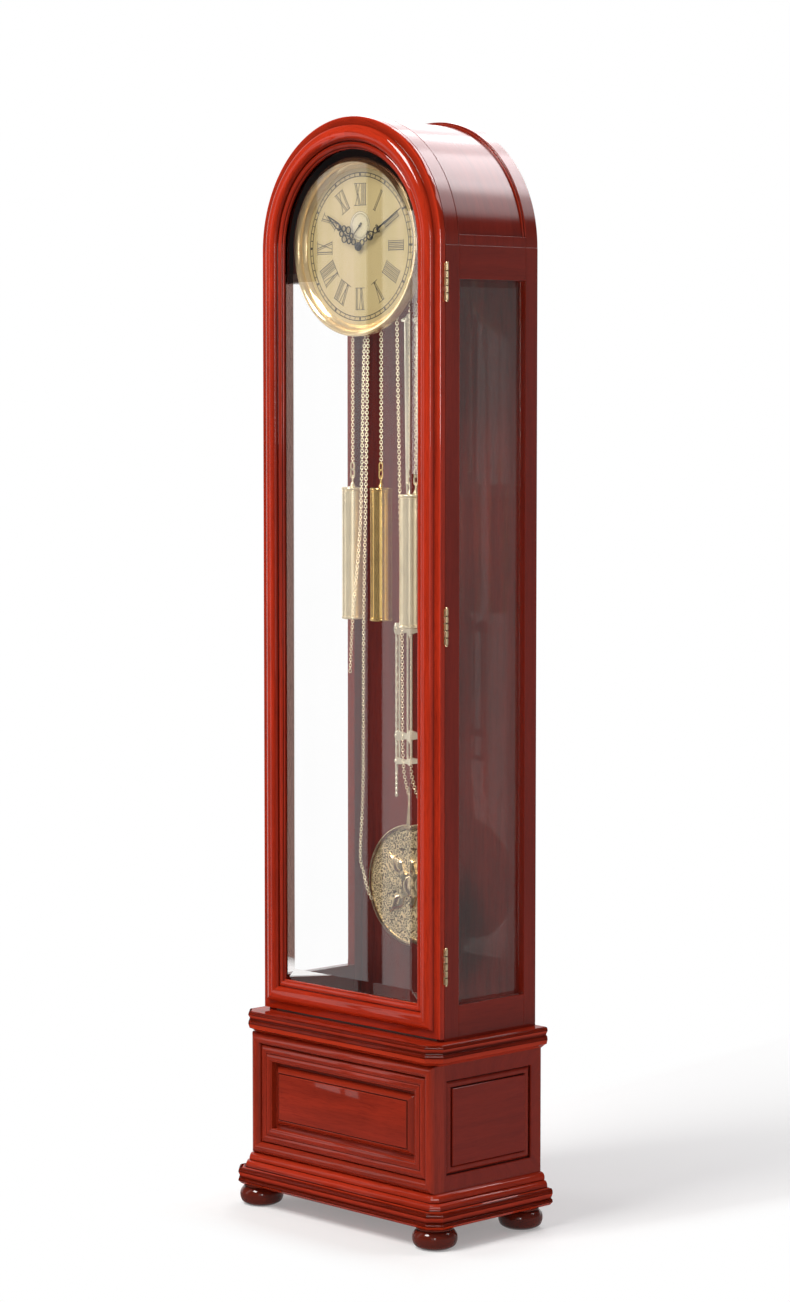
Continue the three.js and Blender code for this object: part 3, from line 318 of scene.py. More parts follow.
def node(tree, kind, **values):
    """A node whose settings and inputs are given by name."""
    made = tree.nodes.new(kind)
    for key, value in values.items():
        if hasattr(made, key):
            setattr(made, key, value)
        else:
            wire(tree, made, **{key: value})
    return made


def math_node(tree, operation, a, b=None, clamp=False):
    """A sum of two values, kept from nought to one where it is clamped."""
    made = node(tree, "ShaderNodeMath", operation=operation, use_clamp=clamp)
    feed(tree, made.inputs[0], a)
    if b is not None:
        feed(tree, made.inputs[1], b)
    return made.outputs[0]


def plus(tree, a, b, clamp=False):
    """The first value and the second added."""
    return math_node(tree, "ADD", a, b, clamp)


def less(tree, a, b, clamp=False):
    """The first value with the second taken away."""
    return math_node(tree, "SUBTRACT", a, b, clamp)


def times(tree, a, b, clamp=False):
    """The first value times the second."""
    return math_node(tree, "MULTIPLY", a, b, clamp)


def vector_math(tree, operation, *values):
    """A sum of vectors. A dot product and a length come out as one number."""
    made = node(tree, "ShaderNodeVectorMath", operation=operation)
    for slot, value in zip(made.inputs, values):
        feed(tree, slot, value)
    return made.outputs["Value" if operation in ("DOT_PRODUCT", "LENGTH") else "Vector"]


def spread(tree, value, start, end, low=0.0, high=1.0, smooth=True):
    """Carries a value's run from start to end onto low to high, and holds it beyond them."""
    return node(tree, "ShaderNodeMapRange", interpolation_type="SMOOTHSTEP" if smooth else "LINEAR",
                Value=value, From_Min=start, From_Max=end, To_Min=low, To_Max=high).outputs["Result"]


def noise(tree, place, scale, detail, roughness=0.5, distortion=0.0):
    """A cloudy value about a half, read at a place."""
    return node(tree, "ShaderNodeTexNoise", Vector=place, Scale=scale, Detail=detail, Roughness=roughness,
                Distortion=distortion).outputs["Fac"]


def ramp(tree, value, stops):
    """A colour ramp from a value, by [place, colour] stops."""
    made = node(tree, "ShaderNodeValToRGB", Fac=value)
    band = made.color_ramp
    band.elements[0].position, band.elements[0].color = stops[0]
    band.elements[1].position, band.elements[1].color = stops[-1]
    for place, colour in stops[1:-1]:
        band.elements.new(place).color = colour
    return made.outputs[0]


def shade(colour, gain):
    """A colour with red, green and blue all times one gain."""
    return (colour[0] * gain, colour[1] * gain, colour[2] * gain, 1.0)


def tinted(tree, value, colour, stops):
    """One colour made darker or lighter by a value, by [place, gain] stops."""
    return ramp(tree, value, [(place, shade(colour, gain)) for place, gain in stops])


def mixed(tree, factor, a, b, blend="MIX"):
    """Two colours mixed by a factor."""
    made = node(tree, "ShaderNodeMix", data_type="RGBA", blend_type=blend, Factor=factor)
    feed(tree, made.inputs[6], a)
    feed(tree, made.inputs[7], b)
    return made.outputs[2]


def mixed_shaders(tree, factor, a, b):
    """Two shader nodes mixed by a factor."""
    made = node(tree, "ShaderNodeMixShader", Fac=factor)
    feed(tree, made.inputs[1], a.outputs[0])
    feed(tree, made.inputs[2], b.outputs[0])
    return made


def bump(tree, height, strength, distance):
    """A surface direction leaning with the slope of a height."""
    return node(tree, "ShaderNodeBump", Strength=strength, Distance=distance, Height=height).outputs[0]


def object_place(tree):
    """Where a point lies in the piece's own axes."""
    return node(tree, "ShaderNodeTexCoord").outputs["Object"]


def grain_place(tree):
    """Where a point lies along and across the piece's grain."""
    return node(tree, "ShaderNodeUVMap", uv_map="grain").outputs[0]


def new_group(name, outputs, **inputs):
    """A node group that reads a place and some numbers and puts out masks. It comes with its
    input sockets and its output node."""
    group = bpy.data.node_groups.new(name, "ShaderNodeTree")
    group.interface.new_socket("Place", in_out="INPUT", socket_type="NodeSocketVector")
    for label, default in inputs.items():
        socket = group.interface.new_socket(label, in_out="INPUT", socket_type="NodeSocketFloat")
        socket.default_value = default
    for label in outputs:
        group.interface.new_socket(label, in_out="OUTPUT", socket_type="NodeSocketFloat")
    return group, group.nodes.new("NodeGroupInput").outputs, group.nodes.new("NodeGroupOutput")


def grain_group():
    """Wood grain: long streaks along the first axis, finer pores, and a slow wander of tone that
    also steps from plank to plank."""
    g, given, out = new_group("Wood grain", ("Streak", "Pores", "Tone"), Streaks=60.0, Stretch=0.06,
                              Plank=0.0)
    stretch = node(g, "ShaderNodeCombineXYZ", X=given["Stretch"], Y=1.0, Z=1.0)
    shift = node(g, "ShaderNodeCombineXYZ", X=times(g, given["Plank"], 7.3),
                 Y=times(g, given["Plank"], 3.1), Z=times(g, given["Plank"], 5.7))
    moved = vector_math(g, "ADD", given["Place"], shift.outputs[0])
    scaled = vector_math(g, "MULTIPLY", moved, stretch.outputs[0])
    warp = node(g, "ShaderNodeTexNoise", Vector=moved, Scale=6.0, Detail=2.0).outputs["Color"]
    bend = vector_math(g, "MULTIPLY_ADD", warp, (0.0, 0.012, 0.012), scaled)
    wire(g, out, Streak=noise(g, bend, given["Streaks"], 4.0, 0.62),
         Pores=noise(g, bend, times(g, given["Streaks"], 9.0), 3.0, 0.55), Tone=noise(g, moved, 2.2, 1.0))
    return g


def handling_group():
    """Wear and dust: broad smudges that dull a polish, and fine specks, as two masks."""
    g, given, out = new_group("Handling marks", ("Smudge", "Specks"), Size=9.0)
    specks = noise(g, given["Place"], times(g, given["Size"], 40.0), 2.0)
    wire(g, out, Smudge=noise(g, given["Place"], given["Size"], 5.0, 0.6, 0.4),
         Specks=times(g, less(g, specks, 0.62, True), 3.0, True))
    return g


def brushing_group():
    """Brushed metal: very long thin scratches along the first axis."""
    g, given, out = new_group("Brushed lines", ("Line",), Lines=900.0, Length=0.02)
    stretch = node(g, "ShaderNodeCombineXYZ", X=given["Length"], Y=1.0, Z=1.0)
    scaled = vector_math(g, "MULTIPLY", given["Place"], stretch.outputs[0])
    wire(g, out, Line=noise(g, scaled, given["Lines"], 2.0))
    return g


def scroll_group():
    """Engraved scrollwork: rings that wind round scattered centres, bent so that they run into
    one another like curling leaves. The output is nought in the cut and one on the ground."""
    g, given, out = new_group("Engraved scrolls", ("Ground",), Centres=135.0, Turns=15.0)
    bend = node(g, "ShaderNodeTexNoise", Vector=given["Place"], Scale=45.0, Detail=1.0).outputs["Color"]
    moved = vector_math(g, "MULTIPLY_ADD", bend, (0.010, 0.0, 0.010), given["Place"])
    cells = node(g, "ShaderNodeTexVoronoi", feature="F1", Vector=moved, Scale=given["Centres"])
    wave = math_node(g, "SINE", times(g, cells.outputs["Distance"], given["Turns"]))
    wire(g, out, Ground=plus(g, times(g, wave, 1.6), 0.95, True))
    return g


GROUPS = {}


def group_node(tree, maker, place, **values):
    """Places a shared group in a material and gives its outputs. Each group is built once."""
    if maker not in GROUPS:
        GROUPS[maker] = maker()
    made = tree.nodes.new("ShaderNodeGroup")
    made.node_tree = GROUPS[maker]
    return wire(tree, made, Place=place, **values).outputs


def smudged(tree, marks, low, high):
    """A value that wanders between two levels with the smudges."""
    return spread(tree, marks["Smudge"], 0.25, 0.75, low, high, smooth=False)


def start_material(name, **values):
    """A material with a Principled surface and constants set on the shader's own sockets."""
    material = bpy.data.materials.new(name)
    material.use_nodes = True
    tree = material.node_tree
    return material, tree, wire(tree, tree.nodes["Principled BSDF"], **values)


def wood_material(name, colour, axis=None, gloss=1.0, contrast=1.0, roughness=0.3, sheen=0.045,
                  depth=1.9):
    """Lacquered wood, with painted shade in its hollows and a painted highlight along its ridges.
    It reads the piece's own grain map, or object places turned so that the grain runs along one
    axis. Depth says how fast the painted shade in a hollow darkens."""
    material, tree, shader = start_material(
        name, Coat_Weight=gloss, Coat_Roughness=sheen, Coat_IOR=1.5, Specular_IOR_Level=0.0)
    if axis is None:
        place = grain_place(tree)
        plank = node(tree, "ShaderNodeAttribute", attribute_name="plank").outputs["Fac"]
    else:
        turn = {"x": (0, 0, 0), "z": (0, math.pi / 2, 0)}[axis]
        place = node(tree, "ShaderNodeMapping", Rotation=turn, Vector=object_place(tree)).outputs[0]
        plank = 0.0
    grain = group_node(tree, grain_group, place, Plank=plank)
    marks = group_node(tree, handling_group, object_place(tree), Size=7.0)
    c = contrast
    tone = tinted(tree, plus(tree, times(tree, grain["Streak"], 0.62), times(tree, grain["Tone"], 0.38)),
                  colour, [(0.30, 1 - 0.42 * c), (0.45, 1 - 0.14 * c), (0.55, 1 + 0.08 * c),
                           (0.72, 1 + 0.34 * c)])
    pores = ramp(tree, grain["Pores"], [(0.34, (0.25, 0.2, 0.2, 1)), (0.5, (1, 1, 1, 1))])
    dark = mixed(tree, 0.35 * c, tone, pores, "MULTIPLY")
    # Painted shade and highlight: the hollow attribute darkens hollows towards a shade colour and thins the
    # coat there. On ridges, where it is negative, it paints a paler highlight colour.
    hollow = node(tree, "ShaderNodeAttribute", attribute_name="hollow").outputs["Fac"]
    hollow_shading, ridge = times(tree, hollow, depth, True), times(tree, hollow, -1.2, True)
    # The colour of the painted shade in hollows.
    painted_shade = shade((colour[0] * 0.6, colour[1], colour[2]), 0.12)
    hollow_shaded = mixed(tree, times(tree, hollow_shading, 0.85), dark, painted_shade)
    # The colour of the painted highlight on ridges.
    ridge_highlight = (colour[0] * 1.7, colour[1] * 2.0, colour[2] * 1.5, 1.0)
    wire(tree, shader, Base_Color=mixed(tree, ridge, hollow_shaded, ridge_highlight),
         Coat_Weight=less(tree, gloss, times(tree, hollow_shading, 0.7 * gloss)),
         Roughness=smudged(tree, marks, roughness - 0.08, roughness + 0.12),
         Normal=bump(tree, grain["Pores"], 0.06, 0.0004))
    return material


def metal_material(name, colour, roughness=0.14, brushed=0.0, lines=900.0, metallic=1.0):
    """Bare or lacquered metal with smudges, tiny specks and, where asked, brushed lines."""
    material, tree, shader = start_material(name, Metallic=metallic)
    marks = group_node(tree, handling_group, object_place(tree), Size=22.0)
    rough = smudged(tree, marks, roughness * 0.75, roughness * 1.45)
    if brushed:
        line = group_node(tree, brushing_group, grain_place(tree), Lines=lines)["Line"]
        relief = bump(tree, line, brushed, 0.0003)
    else:
        relief = bump(tree, marks["Smudge"], 0.03, 0.0006)
    tone = tinted(tree, marks["Smudge"], colour, [(0.28, 0.86), (0.5, 1.0), (0.75, 1.06)])
    rough = plus(tree, rough, times(tree, marks["Specks"], 0.12))
    wire(tree, shader, Base_Color=tone, Roughness=rough, Normal=relief)
    return material


def engraved_material(name, colour, cut):
    """Pale metal closely engraved with scrolls whose cuts are filled dark."""
    material, tree, shader = start_material(name, Metallic=0.6)
    place = object_place(tree)
    ground = group_node(tree, scroll_group, place)["Ground"]
    marks = group_node(tree, handling_group, place, Size=18.0)
    low = tinted(tree, marks["Smudge"], cut, [(0.3, 0.7), (0.7, 1.3)])
    high = tinted(tree, marks["Smudge"], colour, [(0.3, 0.8), (0.7, 1.1)])
    wire(tree, shader, Base_Color=mixed(tree, ground, low, high), Roughness=smudged(tree, marks, 0.28, 0.45),
         Normal=bump(tree, ground, 0.5, 0.0004))
    return material


def paint_material(name, colour, roughness=0.35, metallic=0.0):
    """Dark lacquer or blackened steel, a little rubbed."""
    material, tree, shader = start_material(name, Metallic=metallic)
    marks = group_node(tree, handling_group, object_place(tree), Size=60.0)
    wire(tree, shader, Base_Color=tinted(tree, marks["Smudge"], colour, [(0.3, 0.7), (0.7, 1.5)]),
         Roughness=smudged(tree, marks, roughness - 0.1, roughness + 0.15),
         Normal=bump(tree, marks["Smudge"], 0.05, 0.0003))
    return material


def glass_material(name, tint, ior=1.3, light_painted=False):
    """Clear glass with faint smears. Lamps shine through it. A pane with painted light has its tint
    fade to pale low down and towards the hinges."""
    material, tree, shader = start_material(name, Transmission_Weight=1.0, IOR=ior, Roughness=0.0)
    place = object_place(tree)
    marks = group_node(tree, handling_group, place, Size=5.0)
    tone = tinted(tree, marks["Smudge"], tint, [(0.3, 0.99), (0.7, 1.0)])
    # Painted light: the border's tint is painted paler low down and on the hinge side.
    if light_painted:
        split, painted_light_tone = node(tree, "ShaderNodeSeparateXYZ", Vector=place).outputs, (0.95, 0.90, 0.87, 1)
        light_towards_hinges = spread(tree, split["X"], 0.12, 0.15, smooth=False)
        light_towards_foot = spread(tree, split["Z"], 0.47, 0.45, smooth=False)
        tone = mixed(tree, math_node(tree, "MAXIMUM", light_towards_hinges, light_towards_foot), tone, painted_light_tone)
    wire(tree, shader, Base_Color=tone)
    light = node(tree, "ShaderNodeLightPath").outputs
    through = math_node(tree, "MAXIMUM", light["Is Shadow Ray"], light["Is Diffuse Ray"])
    clear = node(tree, "ShaderNodeBsdfTransparent", Color=shade(tint, 1.0))
    wire(tree, tree.nodes["Material Output"], Surface=mixed_shaders(tree, through, shader, clear).outputs[0])
    return material


def dial_material(name, colour):
    """Champagne dial metal: upright brushed bands on the plate and a fine satin tooth."""
    material, tree, shader = start_material(name, Metallic=0.15)
    place = object_place(tree)
    upright = node(tree, "ShaderNodeMapping", Rotation=(0, math.pi / 2, 0), Vector=place).outputs[0]
    fine = group_node(tree, brushing_group, upright, Lines=700.0, Length=0.012)["Line"]
    broad = group_node(tree, brushing_group, upright, Lines=14.0, Length=0.02)["Line"]
    marks = group_node(tree, handling_group, place, Size=14.0)
    pale = (colour[0] * 1.1, colour[1] * 1.1, colour[2] * 1.35, 1)
    tone = ramp(tree, broad, [(0.34, shade(colour, 0.88)), (0.48, shade(colour, 0.98)), (0.6, pale)])
    satin = ramp(tree, fine, [(0.35, (0.8, 0.78, 0.7, 1)), (0.65, (1, 1, 1, 1))])
    wire(tree, shader, Base_Color=mixed(tree, 0.25, tone, satin, "MULTIPLY"),
         Roughness=smudged(tree, marks, 0.30, 0.45), Normal=bump(tree, fine, 0.08, 0.0002))
    return material


MATERIALS = {}


def finish(name):
    """The named finish, made from the colours in the settings the first time it is wanted."""
    if name not in MATERIALS:
        c = bpy.context.scene.longcase_colours
        white = (1.0, 1.0, 1.0)
        make, colour, options = {
            "Door lacquer": (wood_material, c.door_red, dict(contrast=0.9, depth=2.2)),
            "Base lacquer": (wood_material, c.base_red, dict(contrast=0.8, depth=4.0)),
            # The plinth's and surbase's lacquer is a lighter copy of the base's: painted light on their lit
            # roundings.
            "Moulding lacquer": (wood_material, c.moulding_lit_red, dict(gloss=0.6, contrast=0.9, depth=4.0)),
            # The feet's lacquer is a darker copy of the base's: painted shade under the plinth.
            "Foot lacquer": (wood_material, c.foot_shade_red, dict(contrast=0.5)),
            "Trunk lacquer": (wood_material, c.case_red, dict(contrast=0.55, sheen=0.08)),
            "Hood lacquer": (wood_material, c.case_red, dict(contrast=0.55, sheen=0.17)),
            "Inside boards": (wood_material, c.inside_red, dict(axis="z", gloss=0.6, roughness=0.4)),
            "Inside shelf": (wood_material, c.shelf, dict(axis="x", roughness=0.45, sheen=0.14)),
            "Polished brass": (metal_material, c.brass, dict(roughness=0.09, metallic=0.8)),
            "Bezel brass": (metal_material, c.bezel_brass, dict(roughness=0.09, metallic=0.7)),
            "Pale brass": (metal_material, c.pale_brass, dict(roughness=0.15, metallic=0.5)),
            "Chain brass": (metal_material, c.chain_brass, dict(roughness=0.22, metallic=0.35)),
            "Weight brass": (metal_material, c.weight_brass,
                             dict(roughness=0.12, brushed=0.05, lines=500.0, metallic=0.6)),
            "Deep brass": (metal_material, c.deep_brass,
                           dict(roughness=0.10, brushed=0.05, lines=500.0, metallic=0.85)),
            "Bob brass": (metal_material, c.brass, dict(roughness=0.2)),
            "Bob ground": (engraved_material, c.bob_plate, dict(cut=c.bob_ground)),
            "Movement brass": (metal_material, c.movement_brass, dict(roughness=0.3)),
            "Dial gold": (dial_material, c.dial, {}),
            "Seconds silver": (dial_material, c.seconds, {}),
            "Dial print": (paint_material, c.print_brown, dict(roughness=0.5)),
            "Black steel": (paint_material, c.steel, dict(roughness=0.32, metallic=0.5)),
            "Door glass": (glass_material, white, dict(ior=1.5)),
            # The ground border's tint is painted shade, faded by painted light low down and towards the
            # hinges.
            "Ground border": (glass_material, c.border_shade, dict(ior=1.5, light_painted=True)),
            "Clear pane": (glass_material, white, dict(ior=1.15)),
            # The right-hand side pane is a darker-tinted copy of the clear left-hand pane: painted shade.
            "Side glass": (glass_material, (0.80, 0.76, 0.73), dict(ior=1.7)),
        }[name]
        MATERIALS[name] = make(name, colour, **options)
    return MATERIALS[name]


# ---------- settings ----------
def colour_property(name, description, default):
    """A colour setting, with its three parts from 0 to 1."""
    return bpy.props.FloatVectorProperty(name=name, description=description, default=default, subtype="COLOR",
                                         size=3, min=0.0, max=1.0)


class LongcaseColours(bpy.types.PropertyGroup):
    """Colours of the clock's finishes."""
    door_red: colour_property("Door red", "Lacquer on the door frame", (0.36, 0.020, 0.005))
    base_red: colour_property("Base red", "Lacquer on the base's front", (0.235, 0.018, 0.007))
    # Lighter than the base's lacquer: painted light for the plinth's and surbase's roundings.
    moulding_lit_red: colour_property("Moulding red", "Lacquer on the plinth and the surbase",
                                  (0.33, 0.022, 0.007))
    # Darker than the base's lacquer: painted shade for the feet under the plinth.
    foot_shade_red: colour_property("Foot red", "Lacquer on the bun feet", (0.09, 0.010, 0.005))
    case_red: colour_property("Trunk red", "Lacquer on the trunk, the hood and the base's sides",
                              (0.185, 0.012, 0.005))
    inside_red: colour_property("Inside red", "Stain on the boards inside the trunk", (0.14, 0.012, 0.007))
    shelf: colour_property("Shelf", "Stain on the boards under and over the pendulum", (0.24, 0.15, 0.12))
    brass: colour_property("Brass", "Hinges, and the rim and cross of the bob", (0.88, 0.69, 0.42))
    bezel_brass: colour_property("Bezel brass", "Ring round the dial", (0.87, 0.66, 0.36))
    pale_brass: colour_property("Pale brass", "Blades, rods and bars of the pendulum", (0.93, 0.83, 0.62))
    weight_brass: colour_property("Weight brass", "The two outer weights", (0.95, 0.80, 0.53))
    chain_brass: colour_property("Chain brass", "Links of the chains", (0.98, 0.82, 0.54))
    deep_brass: colour_property("Deep brass", "The middle weight", (0.90, 0.60, 0.22))
    bob_ground: colour_property("Bob ground", "Metal behind the bob's scrolls", (0.13, 0.08, 0.045))
    bob_plate: colour_property("Bob plate", "Metal of the bob between the engraved lines", (0.95, 0.76, 0.44))
    movement_brass: colour_property("Movement brass", "Plates and wheels behind the dial", (0.62, 0.45, 0.18))
    # The ground border's dark tone is painted shade: it stands for the dark mouldings seen through the bevel.
    border_shade: colour_property("Ground border", "Shaded tone of the door pane's ground border",
                                 (0.05, 0.018, 0.013))
    dial: colour_property("Dial", "Champagne gold of the dial plate", (0.43, 0.335, 0.15))
    seconds: colour_property("Seconds ring", "Paler plate under the seconds hand", (0.50, 0.43, 0.26))
    print_brown: colour_property("Dial print", "Ink of the numerals and the minute track",
                                 (0.024, 0.015, 0.008))
    steel: colour_property("Black steel", "Hands, chime rods and the door catch", (0.012, 0.010, 0.010))


class LongcaseSizes(bpy.types.PropertyGroup):
    """Sizes of the clock's visible details."""
    glass_bevel: bpy.props.FloatProperty(
        name="Glass bevel", description="Width of the ground border on the panes", default=0.022,
        min=0.004, max=0.04, unit="LENGTH", subtype="DISTANCE")
    link_pitch: bpy.props.FloatProperty(
        name="Link pitch", description="Distance from one chain link to the next", default=0.0050,
        min=0.003, max=0.02, unit="LENGTH", subtype="DISTANCE")
    link_wire: bpy.props.FloatProperty(
        name="Link wire", description="Radius of the wire in a chain link", default=0.0008,
        min=0.0004, max=0.002, unit="LENGTH", subtype="DISTANCE")
    numeral_width: bpy.props.FloatProperty(
        name="Numeral line", description="Width of the lines that draw the numerals", default=0.0011,
        min=0.0003, max=0.003, unit="LENGTH", subtype="DISTANCE")


class LongcaseStage(bpy.types.PropertyGroup):
    """The floor, lamps and camera."""
    key_power: bpy.props.FloatProperty(
        name="Key lamp", description="Power of the large lamp above the front", default=225.0, min=0.0,
        max=2000.0, unit="POWER")
    top_power: bpy.props.FloatProperty(
        name="Ceiling lamps", description="Power per square metre of the panels above and behind",
        default=34.0, min=0.0, max=2000.0, unit="POWER")
    fill_power: bpy.props.FloatProperty(
        name="Fill lamp", description="Power of the lamp at the right", default=21.0, min=0.0, max=2000.0,
        unit="POWER")
    strip_power: bpy.props.FloatProperty(
        name="Window strips",
        description="Power per metre of width of the tall strips that the door glass and the brass mirror",
        default=6.0, min=0.0, max=2000.0, unit="POWER")
    left_power: bpy.props.FloatProperty(
        name="Left lamp", description="Power of the lamp that lights the left-hand slopes of the mouldings",
        default=40.0, min=0.0, max=2000.0, unit="POWER")
    glint_power: bpy.props.FloatProperty(
        name="Glint lamp", description="Power of the narrow lamp that draws bright lines on the brass",
        default=34.0, min=0.0, max=2000.0, unit="POWER")
    room_light: bpy.props.FloatProperty(
        name="Room light", description="Brightness of the plain room light", default=0.22, min=0.0, max=2.0)
    floor_shine: bpy.props.FloatProperty(
        name="Floor in shiny pieces", description="Brightness of the near floor as polished pieces mirror it",
        default=0.30, min=0.0, max=1.0)
    floor_colour: colour_property("Floor", "Pale floor", (0.88, 0.88, 0.88))


# ---------- stage ----------
def backdrop_seen(tree, behind):
    """How much of the white backdrop a ray sees: all of it from the camera and straight through
    glass, and after a mirror bounce as much as lies behind the clock, given by a value that
    grows towards the back."""
    light = node(tree, "ShaderNodeLightPath").outputs
    glass = plus(tree, light["Is Glossy Ray"], light["Is Transmission Ray"], True)
    bounced = plus(tree, light["Glossy Depth"], light["Diffuse Depth"], True)
    mirrored = times(tree, glass, spread(tree, behind, 0.35, 0.85))
    straight = less(tree, light["Is Transmission Ray"], bounced, True)
    return plus(tree, plus(tree, light["Is Camera Ray"], straight, True), mirrored, True)


def glossy_ray(tree):
    """One for a ray that comes off a polished surface, nought for any other."""
    return node(tree, "ShaderNodeLightPath").outputs["Is Glossy Ray"]


def make_floor(settings):
    """A wide flat sheet whose near part takes the clock's shadow and whose far part is white.
    Polished pieces mirror it grey, and brighter towards the back and the right."""
    n, reach = 9, 30000
    x, y = np.meshgrid(np.linspace(-reach, reach, n), np.linspace(-reach, reach, n), indexing="ij")
    shape = Shape()
    points = np.stack([x, y, 0 * x], -1).reshape(-1, 3)
    i, j = np.meshgrid(np.arange(n - 1), np.arange(n - 1), indexing="ij")
    faces = np.stack([i * n + j, (i + 1) * n + j, (i + 1) * n + j + 1, i * n + j + 1], -1).reshape(-1, 4)
    shape.add(points, [(faces, points[faces][..., :2])])
    material, tree, shader = start_material("Floor", Roughness=0.6, Specular_IOR_Level=0.1)
    place = object_place(tree)
    marks = group_node(tree, handling_group, place, Size=1.5)
    tone = tinted(tree, marks["Smudge"], settings.floor_colour, [(0.3, 0.985), (0.7, 1.0)])
    wire(tree, shader, Base_Color=tone)
    bearing = vector_math(tree, "NORMALIZE", place)
    seen = backdrop_seen(tree, vector_math(tree, "DOT_PRODUCT", bearing, (-0.70, 0.65, 0.0)))
    far = spread(tree, vector_math(tree, "LENGTH", place), 0.35, 2.6, 0.26, 1.0)
    glow = spread(tree, vector_math(tree, "DOT_PRODUCT", place, (0.7, 0.7, 0.0)), -1.5, 0.8, 0.3, 1.0)
    grey = node(tree, "ShaderNodeEmission", Color=(1.0, 0.95, 0.94, 1),
                Strength=times(tree, glow, settings.floor_shine))
    shiny = mixed_shaders(tree, glossy_ray(tree), shader, grey)
    split = node(tree, "ShaderNodeSeparateXYZ", Vector=place).outputs
    ahead = less(tree, -0.005, split["Y"])
    aside = less(tree, math_node(tree, "ABSOLUTE", split["X"]),
                 plus(tree, times(tree, split["Y"], 0.1), 0.12))
    clear = spread(tree, math_node(tree, "MAXIMUM", ahead, aside), 0.145, 0.34)
    white = node(tree, "ShaderNodeEmission", Color=(1, 1, 1, 1), Strength=1.0)
    bright = times(tree, seen, math_node(tree, "MAXIMUM", clear, far))
    wire(tree, tree.nodes["Material Output"], Surface=mixed_shaders(tree, bright, shiny, white).outputs[0])
    MATERIALS["Floor"] = material
    shape.object("floor", None, "Floor")


def make_world(settings):
    """Plain room light. The camera, metal and glass see the white backdrop; towards the front of
    the room the backdrop ends, and shiny pieces see it grey."""
    world = bpy.data.worlds.new("Room")
    bpy.context.scene.world = world
    world.use_nodes = True
    tree = world.node_tree
    tree.nodes.clear()
    way = node(tree, "ShaderNodeTexCoord").outputs["Generated"]
    seen = backdrop_seen(tree, vector_math(tree, "DOT_PRODUCT", way, (-0.70, 0.65, -0.30)))
    split = node(tree, "ShaderNodeSeparateXYZ", Vector=way).outputs
    level = spread(tree, split["Z"], 0.0, 0.3, 1.0, 0.0)
    beside = spread(tree, plus(tree, split["X"], split["Y"]), -0.4, 0.7, 0.1, 1.0)
    far = times(tree, times(tree, level, beside), settings.floor_shine * 0.75)
    shine = times(tree, less(tree, far, 0.6 * settings.room_light), glossy_ray(tree))
    room = node(tree, "ShaderNodeBackground", Color=(1, 0.99, 0.98, 1),
                Strength=plus(tree, shine, settings.room_light))
    white = node(tree, "ShaderNodeBackground", Color=(1, 1, 1, 1), Strength=1.0)
    node(tree, "ShaderNodeOutputWorld", Surface=mixed_shaders(tree, seen, room, white).outputs[0])


def make_lamp(name, place, aim, size, power, colour=(1, 1, 1), mirrored=True):
    """A rectangular lamp that faces a point. The camera never sees it, and a lamp that isn't
    mirrored lights the clock without showing in its polish."""
    lamp = bpy.data.lights.new(name, "AREA")
    lamp.shape, lamp.size, lamp.size_y = "RECTANGLE", size[0], size[1]
    lamp.energy, lamp.color = power, colour
    made = bpy.data.objects.new(name, lamp)
    bpy.context.scene.collection.objects.link(made)
    direction = Vector(aim) - Vector(place)
    made.visible_camera, made.visible_glossy = False, mirrored
    made.matrix_world = Matrix.Translation(place) @ direction.to_track_quat("-Z", "Y").to_matrix().to_4x4()


def make_camera():
    """Stands to the right of the front, a little below the dial, and looks slightly down."""
    data = bpy.data.cameras.new("camera")
    data.lens, data.sensor_width, data.sensor_fit = 94.95, 36.0, "AUTO"
    data.clip_end = 200.0
    camera = bpy.data.objects.new("camera", data)
    bpy.context.scene.collection.objects.link(camera)
    forward = Vector((-0.72084, 0.68888, -0.07637)).normalized()
    camera.matrix_world = (Matrix.Translation((4.51085, -4.29635, 1.51796))
                           @ forward.to_track_quat("-Z", "Y").to_matrix().to_4x4())
    bpy.context.scene.camera = camera


# ---------- wood ----------
def mitred(shape, section, length, place, plank, square_end=False, painted_shade=0.0):
    """A straight member of a frame: its section [in from the edge, depth] runs from a 45 degree
    cut to another one, or to a square end."""
    w, y = np.array(section, float).T
    starts = w
    ends = np.full_like(w, length) if square_end else length - w
    grid = np.stack([place(starts, w, y), place(ends, w, y)])
    run = running_length(np.stack([w, y], -1)[None], 1, True)
    shape.solid(grid, along=np.stack([starts, ends]), across=run, plank=plank, painted_shade=painted_shade + 0 * grid[..., 0])


def ring_along(section, angles, height):
    """Carries a section [radius, depth] round the arch's centre, by angle in degrees."""
    r, y = np.array(section, float).T
    a = np.radians(angles)[:, None]
    return np.stack([r * np.cos(a), y + 0 * a, height + r * np.sin(a)], -1)


def half_round(centre, half_width, height, start, end, steps, base=0.0, power=2.3):
    """A bulging ridge: its height follows a flattened half circle."""
    w = np.cos(np.radians(np.linspace(start, end, steps + 1)))
    rise = (1 - np.abs(w) ** power) ** (1 / power)
    return np.stack([centre + half_width * w, base + height * rise], -1)


def bulge(depth, half_height, z, steps=12):
    """A half round [set back, height] that swells out to the edge, about a height."""
    return half_round(0, 1, 1, -90, 90, steps, 0, 2.0)[:, ::-1] * [-depth, half_height] + [depth, z]


